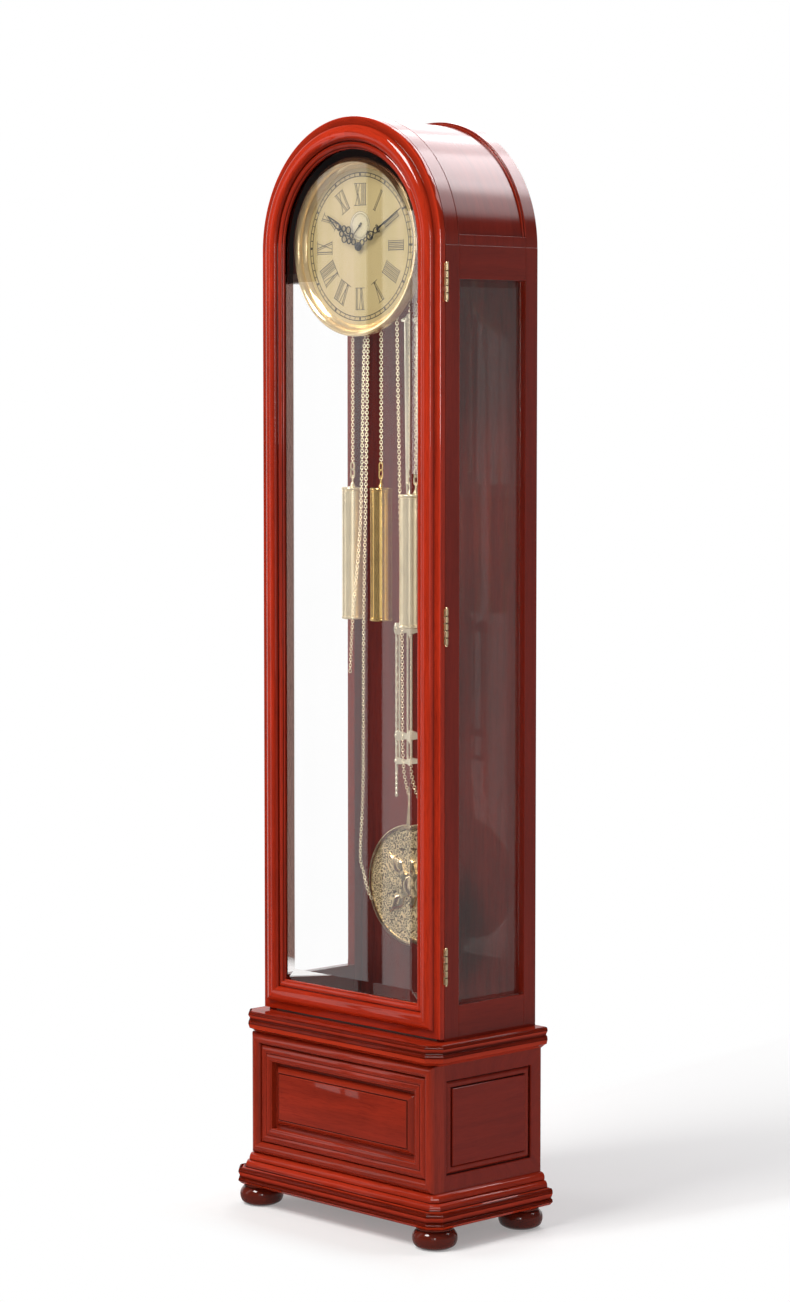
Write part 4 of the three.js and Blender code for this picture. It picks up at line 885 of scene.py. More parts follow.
def door_section():
    """Section of the door frame: a flat ledge, a bold rounded ridge, a bead and a sloping lip."""
    ledge_y = corners("door_arch")[0][1] + 11
    back_y = corners("door_arch")[1][1]
    front = np.concatenate([
        [[0, -2.2], [0.25, -0.9], [1.0, -0.15], [2.2, 0], [13.8, 0.05], [14.6, 0.5]],
        half_round(29.4, 14.2, 9.4, 180, 0, 16, 1.6),
        [[44.2, 0.9], [45.2, 0.9]],
        half_round(50.2, 4.8, 2.5, 180, 12, 8, 1.2),
        [[55.4, 0.6], [56.6, 0.4], [57.6, -0.6], [DOOR_FRAME, -2]],
    ])
    front[:, 1] = ledge_y - front[:, 1]
    pane_y = corners("door_glass")[0][1] - 0.15
    return np.concatenate([[[0, back_y]], front, [[DOOR_FRAME, pane_y], [49, pane_y], [49, back_y]]])


def make_door_frame():
    """The door's section carried up the stiles, along the rail and round the arch. The inner
    mouldings get painted shade, most of all on the arch and on the latch side."""
    section = door_section()
    half, bottom = CASE_HALF, corners("door_rail_bottom")[0][2]
    # How much painted shade each point of the section takes: half on the outer ledge, none across most of the
    # bold ridge, and all on the inner mouldings.
    inner = np.interp(section[:, 0], (11, 17, 34, 41), (0.5, 0, 0, 1))
    for side, name in ((-1, "left"), (1, "right")):
        shape = Shape()
        place = lambda s, w, y: np.stack([side * (half - w), y, bottom + s], -1)
        # Painted shade on the stiles' inner mouldings, more on the left, latch side than on the right.
        mitred(shape, section, SPRING_Z - bottom, place, 1.0 + side * 0.4, square_end=True,
               painted_shade=inner * (0.24 if side < 0 else 0.1))
        shape.object(f"door_stile_{name}", "door", "Door lacquer")
    shape = Shape()
    mitred(shape, section, 2 * half, lambda s, w, y: np.stack([s - half, y, bottom + w], -1), 3.3)
    shape.object("door_rail_bottom", "door", "Door lacquer")
    shape = Shape()
    rim = section.copy()
    rim[:, 0] = half - rim[:, 0]
    run = running_length(rim[None], 1, True)
    for plank, (start, end) in enumerate(((0, 90), (90, 180))):
        angles = np.linspace(start, end, 41)
        grid = ring_along(rim, angles, SPRING_Z)
        along = np.radians(angles)[:, None] * 205 + 0 * rim[:, 0]
        # Painted shade on the arch's inner mouldings: light at the right springing, most at the crown, less
        # again at the left.
        shape.solid(grid, along=along, across=run, plank=5.0 + 1.7 * plank,
                    painted_shade=np.interp(angles, (0, 30, 95, 180), (0.1, 0.1, 0.42, 0.24))[:, None] * inner)
    shape.object("door_arch", "door", "Door lacquer")


def make_side_frames():
    """Eased boards round the side windows."""
    for side in ("left", "right"):
        for name, axis, plank in (("front_stile", 2, 1.2), ("rear_stile", 2, 2.1),
                                  ("bottom_rail", 1, 3.4), ("top_rail", 1, 4.6)):
            shape = Shape()
            shape.board(*corners(f"case_{name}_{side}"), axis, 0.7, plank)
            shape.object(f"case_{name}_{side}", "case", "Trunk lacquer", sharp=20)


def make_hood():
    """The barrel: a shell, a front band flush with a fine groove, a proud rear band and the two
    rails at its foot."""
    low, high = corners("hood_barrel")
    outer, inner = high[0], high[0] - 20
    y0, y1, y2, y3 = low[1], WINDOW_FRONT_Y, high[1] - 33, high[1]
    shell = outer - 6
    rail_height = 18
    rail = math.degrees(math.asin(rail_height / outer))
    shape = Shape()

    def ring(section, angles, plank):
        section = np.array(section, float)
        run = running_length(section[None], 1, True)
        along = np.radians(angles)[:, None] * outer + 0 * section[:, 0]
        shape.solid(ring_along(section, angles, SPRING_Z), along=along, across=run, plank=plank)

    round_all = np.linspace(0, 180, 73)
    ring([[inner, y0 + 2], [shell, y0 + 2], [shell, y3 - 2], [inner, y3 - 2]], round_all, 1.5)
    e = 0.9
    ring([[inner, y0], [outer - e, y0], [outer - 0.3 * e, y0 + 0.3 * e], [outer, y0 + e],
          [outer, y1 - 3.4], [outer - 0.5, y1 - 3.1], [outer - 0.5, y1 - 2.3], [outer, y1 - 2],
          [outer, y1 - e], [outer - 0.3 * e, y1 - 0.3 * e], [outer - e, y1], [inner, y1]], round_all, 2.5)
    ring([[inner, y2], [shell, y2], [outer - 3.4, y2], [outer - 2.6, y2 + 0.9], [outer - 2.6, y2 + 2.6],
          [outer - 0.9, y2 + 3.2], [outer, y2 + 4.4], [outer, y3 - e], [outer - 0.3 * e, y3 - 0.3 * e],
          [outer - e, y3], [inner, y3]], round_all, 3.5)
    for angles in (np.linspace(0, rail, 5), np.linspace(180 - rail, 180, 5)):
        ring([[inner + 1, y1 - 1], [outer, y1 - 1], [outer, y2 + 3], [inner + 1, y2 + 3]], angles, 4.5)
    soften(shape.object("hood_barrel", "case", "Hood lacquer", sharp=20), 0.5)


def base_front_section(front_y, back_y, recess_y):
    """Section of the base's front frame: a half-round bead, a groove, a broad ridge and a lip."""
    front = np.concatenate([
        half_round(10.75, 10.75, 10.2, 180, 0, 12, 0, 2.0),
        [[21.7, -0.6], [22.6, -0.6], [23.2, 0.8]],
        curve([[23.6, 1.2], [25.2, 2.9], [29, 3.8], [33.5, 3.7], [36.6, 2.7]], 4),
        [[37.4, 2.3], [38.2, 3.0]],
        curve([[39, 3.4], [43, 3.7], [46.5, 3.3], [48.6, 2.4]], 4),
        [[49.4, 2.3], [50.6, 2.1], [51, 1.2]],
    ])
    front[:, 1] = front_y - front[:, 1]
    return np.concatenate([[[0, back_y]], front, [[51, recess_y], [43, recess_y], [43, back_y]]])


def make_base_front():
    """Four mitred members with one section."""
    low, high = corners("base_front_rail_top")
    left = corners("base_front_stile_left")
    half, top, bottom = high[0], high[2], left[0][2]
    front_y, back_y = low[1] + 10.75, high[1]
    section = base_front_section(low[1] + 10.4, back_y, front_y + 8.5)
    places = {
        "base_front_rail_top": (2 * half, lambda s, w, y: np.stack([s - half, y, top - w], -1)),
        "base_front_rail_bottom": (2 * half, lambda s, w, y: np.stack([s - half, y, bottom + w], -1)),
        "base_front_stile_left": (top - bottom, lambda s, w, y: np.stack([w - half, y, bottom + s], -1)),
        "base_front_stile_right": (top - bottom, lambda s, w, y: np.stack([half - w, y, bottom + s], -1)),
    }
    for plank, (name, (length, place)) in enumerate(places.items()):
        shape = Shape()
        mitred(shape, section, length, place, 1.0 + 1.9 * plank)
        shape.object(name, "case", "Base lacquer")


def rectangle(x0, x1, z0, z1):
    """The four corners, in turn, of the flat from x0 to x1 and z0 to z1."""
    return np.array([[x0, z0], [x1, z0], [x1, z1], [x0, z1]], float)


def make_base_panel():
    """The raised field of the base front: a sunk border, a sloping edge and a flat field."""
    low, high = corners("base_front_panel")
    frame_high = corners("base_front_rail_top")[1]
    half, top, bottom = frame_high[0], frame_high[2], corners("base_front_stile_left")[0][2]
    tongue = high[1] - 10.7

    def ring(inset, y):
        flat = rectangle(-half + inset, half - inset, bottom + inset, top - inset)
        return np.insert(flat, 1, y, axis=1)

    shape = Shape()
    shape.outline([ring(43.5, high[1]), ring(43.5, tongue), ring(58.0, tongue), ring(59.2, tongue - 1.6),
                   ring(68.8, tongue - 10.6), ring(69.6, tongue - 10.2), ring(71.2, tongue - 10.2),
                   ring(72.0, low[1] + 0.3), ring(73.2, low[1])], plank=6.1)
    soften(shape.object("base_front_panel", "case", "Base lacquer"), 0.4)


def make_base_sides():
    """Each side of the base is a board with a sunk moulded ring round a flat field."""
    for side, name in ((-1, "left"), (1, "right")):
        low, high = corners(f"base_side_{name}")
        outer = max(abs(low[0]), abs(high[0]))
        inner = min(abs(low[0]), abs(high[0]))
        y0, y1, z0, z1 = low[1] + 5, high[1] - 24, low[2] + 28, high[2] - 28

        def ring(inset, x, board=False):
            flat = (rectangle(low[1], high[1], low[2], high[2]) if board
                    else rectangle(y0 + inset, y1 - inset, z0 + inset, z1 - inset))
            return np.insert(flat, 0, side * x, axis=1)

        shape = Shape()
        shape.outline([ring(0, inner, True), ring(0, outer, True), ring(0, outer), ring(1.2, outer - 1.2),
                       ring(1.6, outer - 5), ring(3.6, outer - 5), ring(4.4, outer - 4.0),
                       ring(7.5, outer - 2.6), ring(11.5, outer - 2.4), ring(14.2, outer - 3.8),
                       ring(14.8, outer - 5), ring(16.0, outer - 5), ring(16.4, outer - 0.8),
                       ring(17.4, outer)], plank=7.3 + side, grain="rows")
        soften(shape.object(f"base_side_{name}", "case", "Trunk lacquer"), 0.3)


def moulded_slab(name, section, chamfer):
    """A moulded slab: the section [set back from the edge, height above its foot] runs round the
    front and the sides, with the two front corners cut off, and stops at the square back."""
    low, high = corners(name)
    set_back, z = np.clip(section, 0, [np.inf, high[2] - low[2]]).T + [[0], [low[2]]]
    half, front, rear = high[0] - set_back, low[1] + set_back, np.full_like(z, high[1])
    cut = np.maximum(chamfer - (2 - math.sqrt(2)) * set_back, 0.5)
    xs = [-half, -half, cut - half, half - cut, half, half]
    ys = [rear, front + cut, front, front, front + cut, rear]
    grid = np.stack([np.stack(xs, -1), np.stack(ys, -1), np.repeat(z[:, None], 6, 1)], -1)
    shape = Shape()
    shape.solid(grid, grain="ring", plank=8.8)
    shape.object(name, "case", "Moulding lacquer")


def make_plinth():
    """From the foot up: a small round, a bold round, a hollow and a cove."""
    low, high = corners("plinth_moulding")
    section = np.concatenate([
        [[7, 0]],
        bulge(2.6, 6.0, 6.2, 10),
        [[4.0, 12.3], [4.0, 13.6]],
        bulge(4.4, 8.6, 22.4),
        [[9, 31.2], [13.4, 31.5], [13.6, 33.0]],
        curve([[13.8, 33.6], [14.6, 38.5], [17.4, 42.2], [21, 43.6]], 4),
        [[21.4, 44.2]],
        curve([[20.8, 45.2], [20.6, 49.5], [22.6, 54.5], [27, 57.2], [30.5, high[2] - low[2]]], 4),
    ])
    moulded_slab("plinth_moulding", section, 22)


def make_surbase():
    """From the foot up: a cove, a bold round and a smaller round."""
    low, high = corners("surbase_moulding")
    section = np.concatenate([
        [[16.4, 0]],
        curve([[15.6, 0], [12.6, 2.2], [6.4, 6.6], [3.2, 7.9]], 5),
        [[2.4, 8.4]],
        bulge(2.4, 7.4, 16.2),
        [[3.8, 24.4], [3.8, 25.8]],
        bulge(3.0, 6.4, 32.6),
        [[5.6, high[2] - low[2]]],
    ])
    moulded_slab("surbase_moulding", section, 23.6)


def make_feet():
    """Turned bun feet with a small collar under the plinth."""
    for row in ("front", "rear"):
        for side in ("left", "right"):
            name = f"foot_{row}_{side}"
            low, high = corners(name)
            r, top = (high[0] - low[0]) / 2, high[2]
            profile = np.concatenate([
                [[0, 0], [0.62 * r, 0]],
                curve([[0.68 * r, 0.2], [0.90 * r, 0.14 * top], [0.985 * r, 0.33 * top], [r, 0.5 * top],
                       [0.97 * r, 0.66 * top], [0.88 * r, 0.80 * top], [0.81 * r, 0.85 * top]], 4),
                [[0.80 * r, 0.87 * top], [0.83 * r, 0.90 * top], [0.83 * r, 0.96 * top],
                 [0.80 * r, top], [0, top]],
            ])
            shape = Shape()
            centre = middle(name)
            shape.turned(profile, (centre[0], centre[1], 0), sides=64, plank=2.0)
            shape.object(name, "case", "Foot lacquer")


# ---------- glass ----------
def make_glass():
    """Panes with a ground sloping border. The door's pane follows the arch."""
    bevel = bpy.context.scene.longcase_sizes.glass_bevel * 1000
    low, high = corners("door_glass")
    seen = CASE_HALF - DOOR_FRAME

    def arch(half, bottom, y):
        top = arc((0, SPRING_Z), half, 0, 180, 64)
        flat = np.concatenate([[[-half, bottom], [half, bottom]], top])
        return np.insert(flat, 1, y, axis=1)

    base = corners("door_rail_bottom")[0][2] + DOOR_FRAME
    slope = seen - bevel
    shape = Shape()
    shape.outline([arch(high[0], low[2], high[1]), arch(high[0], low[2], low[1] + 2.2),
                   arch(seen, base, low[1] + 2.2), arch(slope, base + bevel, low[1])])
    border = len(arch(seen, base, 0))
    shape.slots[2 * border:3 * border] = [1] * border
    shape.object("door_glass", "door", "Door glass", "Ground border", sharp=2)
    for side, name in ((-1, "left"), (1, "right")):
        low, high = corners(f"side_glass_{name}")
        outer, inner = (high[0], low[0]) if side > 0 else (low[0], high[0])

        def pane(inset, x):
            return np.insert(rectangle(low[1] + inset, high[1] - inset, low[2] + inset, high[2] - inset),
                             0, x, axis=1)

        shape = Shape()
        shape.outline([pane(0, inner), pane(0, outer - side * 1.8), pane(8.3, outer - side * 1.8),
                       pane(8.3 + bevel * 0.6, outer)])
        # The right-hand pane takes the darker-tinted copy, painted shade.
        shape.object(f"side_glass_{name}", "case", "Side glass" if side > 0 else "Clear pane", sharp=2)


# ---------- brass fittings ----------
def make_hinges():
    """Butt hinges: five knuckles on one pin, carried in turn by the case's leaf and the door's. The
    pin stands in the middle of the gap between the door and the case."""
    door_back, case_front = corners("door_arch")[1][1], corners("case_front_stile_right")[0][1]
    door_depth, case_depth = (door_back - 2.2, door_back + 0.1), (case_front - 0.2, case_front + 2.0)
    for name in ("lower", "middle", "upper"):
        case_low, case_high = corners(f"hinge_{name}_case_leaf")
        radius, axis_x, axis_y = 3.0, case_high[0] - 4.0, (door_back + case_front) / 2
        bottom, top = case_low[2] + 3, case_high[2] - 3
        step = (top - bottom) / 5
        case_leaf, door_leaf = Shape(), Shape()
        for k in range(5):
            leaf, (y0, y1) = (door_leaf, door_depth) if k % 2 else (case_leaf, case_depth)
            z0, z1 = bottom + k * step + 0.8, bottom + (k + 1) * step - 0.8
            leaf.turned([[0, z0], [0.8 * radius, z0], [radius, z0 + 0.4], [radius, z1 - 0.4],
                         [0.8 * radius, z1], [0, z1]], (axis_x, axis_y, 0), sides=20)
            leaf.board((axis_x - radius - 1, y0, z0), (axis_x - 0.5, y1, z1), 2, 0.3)
            if k:
                case_leaf.turned([[0, z0 - 1.5], [1.6, z0 - 1.5], [1.6, z0 - 0.1], [0, z0 - 0.1]],
                                 (axis_x, axis_y, 0), sides=12, slot=1)
        for end, way in ((bottom, -1), (top, 1)):
            case_leaf.turned([[0, end - 1.2 * way], [2.2, end - 1.2 * way], [2.2, end + way * 0.7],
                              [2.6, end + way * 1.4], [2.0, end + way * 2.4], [0, end + way * 3]][::way],
                             (axis_x, axis_y, 0), sides=16)
        for leaf, (y0, y1) in ((case_leaf, case_depth), (door_leaf, door_depth)):
            leaf.board((case_low[0], y0, bottom), (axis_x - radius - 0.4, y1, top), 2, 0.3)
        case_leaf.object(f"hinge_{name}_case_leaf", "case", "Polished brass", "Black steel")
        door_leaf.object(f"hinge_{name}_door_leaf", "door", "Polished brass")


# ---------- dial and hands ----------
def make_bezel():
    """Turned brass ring: a pale inner slope, a groove and a rounded outer rim."""
    low, high = corners("dial_bezel")
    outer, front, back = high[0], low[1], high[1]
    face = DIAL_FACE_Y
    inner = outer - 20.5
    section = np.concatenate([
        [[inner, face - 0.2], [inner, face - 1.0]],
        curve([[inner + 0.4, face - 1.8], [inner + 3.0, face - 4.2], [inner + 6.2, face - 6.6]], 4),
        [[inner + 6.8, face - 6.9], [inner + 7.3, face - 6.2], [inner + 8.0, face - 6.4]],
        curve([[inner + 8.2, face - 8.2], [inner + 10, face - 11.8], [inner + 13.5, face - 14.8],
               [inner + 17, front + 0.05], [inner + 19.2, front + 0.7], [outer, front + 3.2]], 5),
        [[outer, back - 0.6], [outer - 0.6, back], [outer - 9.7, back], [outer - 9.7, face - 0.2]],
    ])
    shape = Shape()
    x, y = section.T
    a = np.linspace(0, 2 * math.pi, 144, endpoint=False)[:, None]
    grid = np.stack([x * np.cos(a), y + 0 * a, DIAL[2] + x * np.sin(a)], -1)
    shape.solid(grid, loop=True)
    shape.object("dial_bezel", "case", "Bezel brass")


def strokes(shape, lines, y0, y1, slot=0):
    """Flat bars on the dial. Each line is (start, end, width) in the X-Z plane; all the bars are
    worked out together as one array."""
    data = np.array([[*a, *b, w] for a, b, w in lines], float)
    start, end, width = data[:, :2], data[:, 2:4], data[:, 4:]
    along = end - start
    along /= np.linalg.norm(along, axis=1)[:, None]
    side = np.stack([along[:, 1], -along[:, 0]], -1) * width / 2
    flat = np.stack([start - side, start + side, end + side, end - side], 1)
    points = np.concatenate([np.insert(flat, 1, y0, axis=2), np.insert(flat, 1, y1, axis=2)], 1)
    n = len(points)
    box = np.array([[0, 1, 2, 3], [7, 6, 5, 4], [0, 4, 5, 1], [1, 5, 6, 2], [2, 6, 7, 3], [3, 7, 4, 0]])
    faces = (box[None] + 8 * np.arange(n)[:, None, None]).reshape(-1, 4)
    points = points.reshape(-1, 3)
    shape.add(points, [(faces, points[faces][..., ::2])], slot=slot)


NUMERALS = ("XII", "I", "II", "III", "IIII", "V", "VI", "VII", "VIII", "IX", "X", "XI")


def numeral_lines(text, line):
    """Lines that draw a Roman numeral upright in a box one high, centred on nought. A thick leg is
    two lines side by side; each stroke ends in a thin foot."""
    widths = {"I": 0.16, "V": 0.42, "X": 0.46}
    total = sum(widths[c] for c in text)
    x = -total / 2
    thick, lines = 0.085, []

    def leg(x0, x1, bold):
        if bold:
            lines.extend([((x0 - thick / 2, 0.02), (x1 - thick / 2, 0.98), line),
                          ((x0 + thick / 2, 0.02), (x1 + thick / 2, 0.98), line * 1.5)])
        else:
            lines.append(((x0, 0.02), (x1, 0.98), line * 1.1))

    for c in text:
        w = widths[c]
        m = x + w / 2
        if c == "I":
            leg(m, m, True)
        elif c == "V":
            leg(m, m - w * 0.30, True)
            leg(m, m + w * 0.30, False)
        else:
            leg(m + w * 0.30, m - w * 0.30, True)
            leg(m - w * 0.30, m + w * 0.30, False)
        x += w
    lines.append(((-total / 2 - 0.01, 0.985), (total / 2 + 0.01, 0.985), line))
    lines.append(((-total / 2 - 0.01, 0.015), (total / 2 + 0.01, 0.015), line))
    return lines


def make_dial():
    """The gold plate with a sunk seconds ring, and its printed numerals and tracks."""
    face, back = DIAL_FACE_Y, DIAL_FACE_Y + 2
    line = bpy.context.scene.longcase_sizes.numeral_width * 1000
    shape = Shape()
    centre, seconds = (0, 0, DIAL[2]), (0, SECONDS_Z)
    numeral_foot, numeral_height, track, track_half = 73, 40, 128.5, 2.9
    shape.turned([[0, face], [60, face], [120, face], [150, face], [150, back], [0, back]], centre, axis="y",
                 sides=96)
    shape.turned([[0, face - 0.05], [25.2, face - 0.05], [25.8, face - 0.01], [25.8, face + 1.0],
                  [0, face + 1.0]], (0, 0, seconds[1]), axis="y", sides=64, slot=2)
    y0, y1 = face - 0.16, face + 0.5
    lines = []
    for hour, text in enumerate(NUMERALS):
        a = math.radians(90 - 30 * hour)
        out = np.array([math.cos(a), math.sin(a)])
        right = np.array([out[1], -out[0]])
        foot = (0, DIAL[2]) + out * numeral_foot
        place = lambda p: foot + (out * p[1] + right * p[0]) * numeral_height
        lines += [(place(s), place(e), w * numeral_height)
                  for s, e, w in numeral_lines(text, line / numeral_height)]
    for minute in range(60):
        a = math.radians(6 * minute)
        out = np.array([math.sin(a), math.cos(a)])
        wide = 2.4 if minute % 5 == 0 else 1.5
        mark = (0, DIAL[2]) + out * track
        lines.append((mark - out * track_half, mark + out * track_half, wide))
        reach = 3.6 if minute % 5 == 0 else 2.2
        lines.append((seconds + out * (22 - reach), seconds + out * 22, 0.5))
    strokes(shape, lines, y0, y1, slot=1)
    for radius, z, width, sides in ((125.2, DIAL[2], 1.6, 180), (131.8, DIAL[2], 1.6, 180),
                                    (22.0, SECONDS_Z, 0.5, 60), (25.6, SECONDS_Z, 0.6, 60)):
        shape.ribbon(arc((0, z), radius, 0, 360 - 360 / sides, sides - 1), width, y0, y1, loop=True, slot=1)
    for hour in range(12):
        a = math.radians(30 * hour)
        shape.turned([[0, y0 - 0.1], [2.0, y0 - 0.1], [2.5, y0], [2.5, y1], [0, y1]],
                     (track * math.sin(a), 0, DIAL[2] + track * math.cos(a)), axis="y", sides=10, slot=1)
    post, inset = [[0, back - 0.5], [3, back - 0.5], [3, back + 9], [0, back + 9]], 26
    plate_low, plate_high = corners("movement_front_plate")
    for x in (plate_low[0] + inset, plate_high[0] - inset):
        for z in (plate_low[2] + inset, plate_high[2] - inset):
            shape.turned(post, (x, 0, z), axis="y", sides=16)
    shape.object("dial_plate", "case", "Dial gold", "Dial print", "Seconds silver")


def circle(s, t, radius, squash=1.0, steps=28):
    """A closed ring of points [across, along] about a place on a hand."""
    a = np.linspace(0, 2 * math.pi, steps, endpoint=False)
    return np.stack([t + radius * squash * np.cos(a), s + radius * np.sin(a)], -1)


def spiral(centre, start, end, turns, angle, way=1, steps=22):
    """A scroll whose radius shrinks steadily as it turns in."""
    k = np.linspace(0, 1, steps)
    a = math.radians(angle) + way * 2 * math.pi * turns * k
    r = start + (end - start) * k
    return np.stack([centre[0] + r * np.cos(a), centre[1] + r * np.sin(a)], -1)


def place_hand(points, angle, centre_z):
    """Turns points [across, along] clockwise from twelve and sets them on the dial."""
    p, a = np.asarray(points, float), math.radians(angle)
    along = np.array([math.sin(a), math.cos(a)])
    across = np.array([math.cos(a), -math.sin(a)])
    return np.array([0, centre_z]) + p[:, :1] * across + p[:, 1:] * along


def make_hands():
    """Each hand is a drawing in thin crowned strips, given as [across, along] from its arbor and
    mirrored where its two halves are alike, with a hub and an arbor behind it."""
    for name, arbor in (("minute_hand", 2.0), ("hour_hand", None), ("seconds_hand", 1.2)):
        low, high = corners(name)
        shape = Shape()
        front = low[1]
        y0, y1 = front + 1.0, front + 2.2
        centre, loop_width = DIAL[2], 1.9
        if name == "seconds_hand":
            centre, angle, hub, loop_width = SECONDS_Z, 225, 2.4, 1.0
            loops = [circle(-5.4, 0, 1.5, steps=16)]
            lines = [([[0, -3.8], [0, 0], [0, 20]], [0.9, 1.3, 0.5])]
        elif name == "minute_hand":
            angle, hub = 60, 7.0
            loops = [circle(14.2, 0, 5.2), circle(24.4, 0, 4.2, 0.8)]
            spade = curve([[0, 29], [6.2, 33], [7.6, 39], [3.2, 45], [0, 48]], 5)
            crest = [[0, 48], [3.6, 51.5], [4.6, 56], [1.4, 60]]
            lines = [(spade, 2.0), (spade * [-1, 1], 2.0),
                     (spiral((2.6, 37.5), 3.4, 1.0, 1.1, -60), 1.3),
                     (spiral((-2.6, 37.5), 3.4, 1.0, 1.1, 240, -1), 1.3),
                     (curve(crest, 5), 1.7), (curve(crest, 5) * [-1, 1], 1.7),
                     (spiral((5.4, 60.5), 2.8, 0.8, 1.0, 180, -1), 1.2),
                     (spiral((-5.4, 60.5), 2.8, 0.8, 1.0, 0), 1.2),
                     ([[0, 56.0], [0, 62], [0, 74], [0, 80], [0, 86], [0, 129]],
                      [1.4, 4.2, 2.6, 4.4, 2.4, 0.8])]
        else:
            angle = 305
            loops = [circle(15, 0, 5.0), circle(26, -5.6, 4.6), circle(26, 5.6, 4.6),
                     circle(38.5, -9.4, 6.0), circle(38.5, 9.4, 6.0), circle(50, -5.4, 5.0),
                     circle(50, 5.4, 5.0)]
            blade = curve([[0, 54], [4.8, 66], [3.2, 80], [0, 100]], 5)
            lines = [(curve([[0, 19], [1.6, 30], [-1.6, 42], [0, 54]], 5), 2.0),
                     (spiral((-3.4, 60.0), 3.6, 1.0, 1.0, -20), 1.5),
                     (spiral((3.4, 60.0), 3.6, 1.0, 1.0, 200, -1), 1.5),
                     (blade, [2.0] * 15 + [0.9]), (blade * [-1, 1], [2.0] * 15 + [0.9])]
        for loop in loops:
            shape.ribbon(place_hand(loop, angle, centre), loop_width, y0, y1, loop=True, crown=0.3)
        for line, width in lines:
            shape.ribbon(place_hand(line, angle, centre), width, y0, y1, crown=0.3)
        if name == "hour_hand":
            for r, width, y_front, y_back in ((5.2, 5.6, y0, y1), (3.2, 1.6, y1 - 0.2, high[1])):
                shape.ribbon(place_hand(circle(0, 0, r), 0, centre), width, y_front, y_back, loop=True,
                             crown=0.5)
        else:
            shape.turned([[0, front], [hub * 0.35, front + 0.1], [hub * 0.7, front + 0.45],
                          [hub * 0.95, y0 + 0.1], [hub, y0 + 0.3], [hub, y1], [arbor, y1],
                          [arbor, high[1]], [0, high[1]]], (0, 0, centre), axis="y", sides=40)
        shape.object(name, name, "Black steel")


# ---------- weights and chains ----------
def make_weights():
    """Turned shells with a rounded rim at both ends, a cone and two flat loops to hang by."""
    for name in ("left", "centre", "right"):
        low, high = corners(f"weight_{name}")
        x, y = middle(f"weight_{name}")[:2]
        shell_length = 241
        r, bottom, top = (high[0] - low[0]) / 2, low[2], low[2] + shell_length
        body = Shape()
        profile = np.concatenate([
            [[0, bottom], [r - 2.2, bottom]],
            curve([[r - 1.4, bottom + 0.2], [r - 0.2, bottom + 1.6], [r, bottom + 3.4],
                   [r - 0.5, bottom + 5.4]], 3),
            [[r - 1.2, bottom + 6.0], [r - 1.2, bottom + 6.8], [r - 0.8, bottom + 7.2], [r - 0.8, top - 7.2],
             [r - 1.2, top - 6.8], [r - 1.2, top - 6.0]],
            curve([[r - 0.5, top - 5.4], [r, top - 3.4], [r - 0.2, top - 1.6], [r - 1.4, top - 0.2]], 3),
            [[r - 2.2, top], [8, top + 0.6], [5.2, top + 1.4], [4.6, top + 3.2], [2.4, top + 8.6],
             [2.0, top + 10], [2.0, top + 22], [0, top + 22]],
        ])
        body.turned(profile, (x, y, 0), sides=64)
        for base, height, wide in ((top + 16, 17, 4.4), (top + 31, 14.6, 4.2)):
            half = height / 2 - wide
            loop = np.concatenate([arc((x, base + wide + 2 * half), wide, 0, 180, 10),
                                   arc((x, base + wide), wide, 180, 360, 10)])
            body.ribbon(loop, 2.0, y - 1.2, y + 1.2, loop=True)
        body.object(f"weight_{name}", f"weight_{name}", "Deep brass" if name == "centre" else "Weight brass")


# Free ends of the chains, from the wheel down. Each point leans sideways and backwards by its
# first two numbers times the lean, and lies its third number of the way down the trunk.
TAIL_LEAN = 31
TAIL_ROUTES = {
    "left": [[0, 0, 0.064], [0, -0.16, 0.124], [0, -0.35, 0.291], [0, -0.55, 0.369], [-0.13, -0.9, 0.457],
             [-0.29, -1, 0.54]],
    "centre": [[0, 0, 0.064], [0, -0.19, 0.291], [-0.05, -0.32, 0.469], [-0.11, -0.32, 0.688],
               [-0.24, -0.42, 0.785], [-0.11, -0.29, 0.812], [0.15, -0.16, 0.838], [0.27, 0.13, 0.852]],
    "right": [[0, 0, 0.064], [0.03, 0.19, 0.287], [0.03, 0.39, 0.493], [0.06, 0.42, 0.641],
              [0.1, 0.65, 0.689], [0.1, 1.1, 0.713], [0.1, 1.42, 0.733]],
}


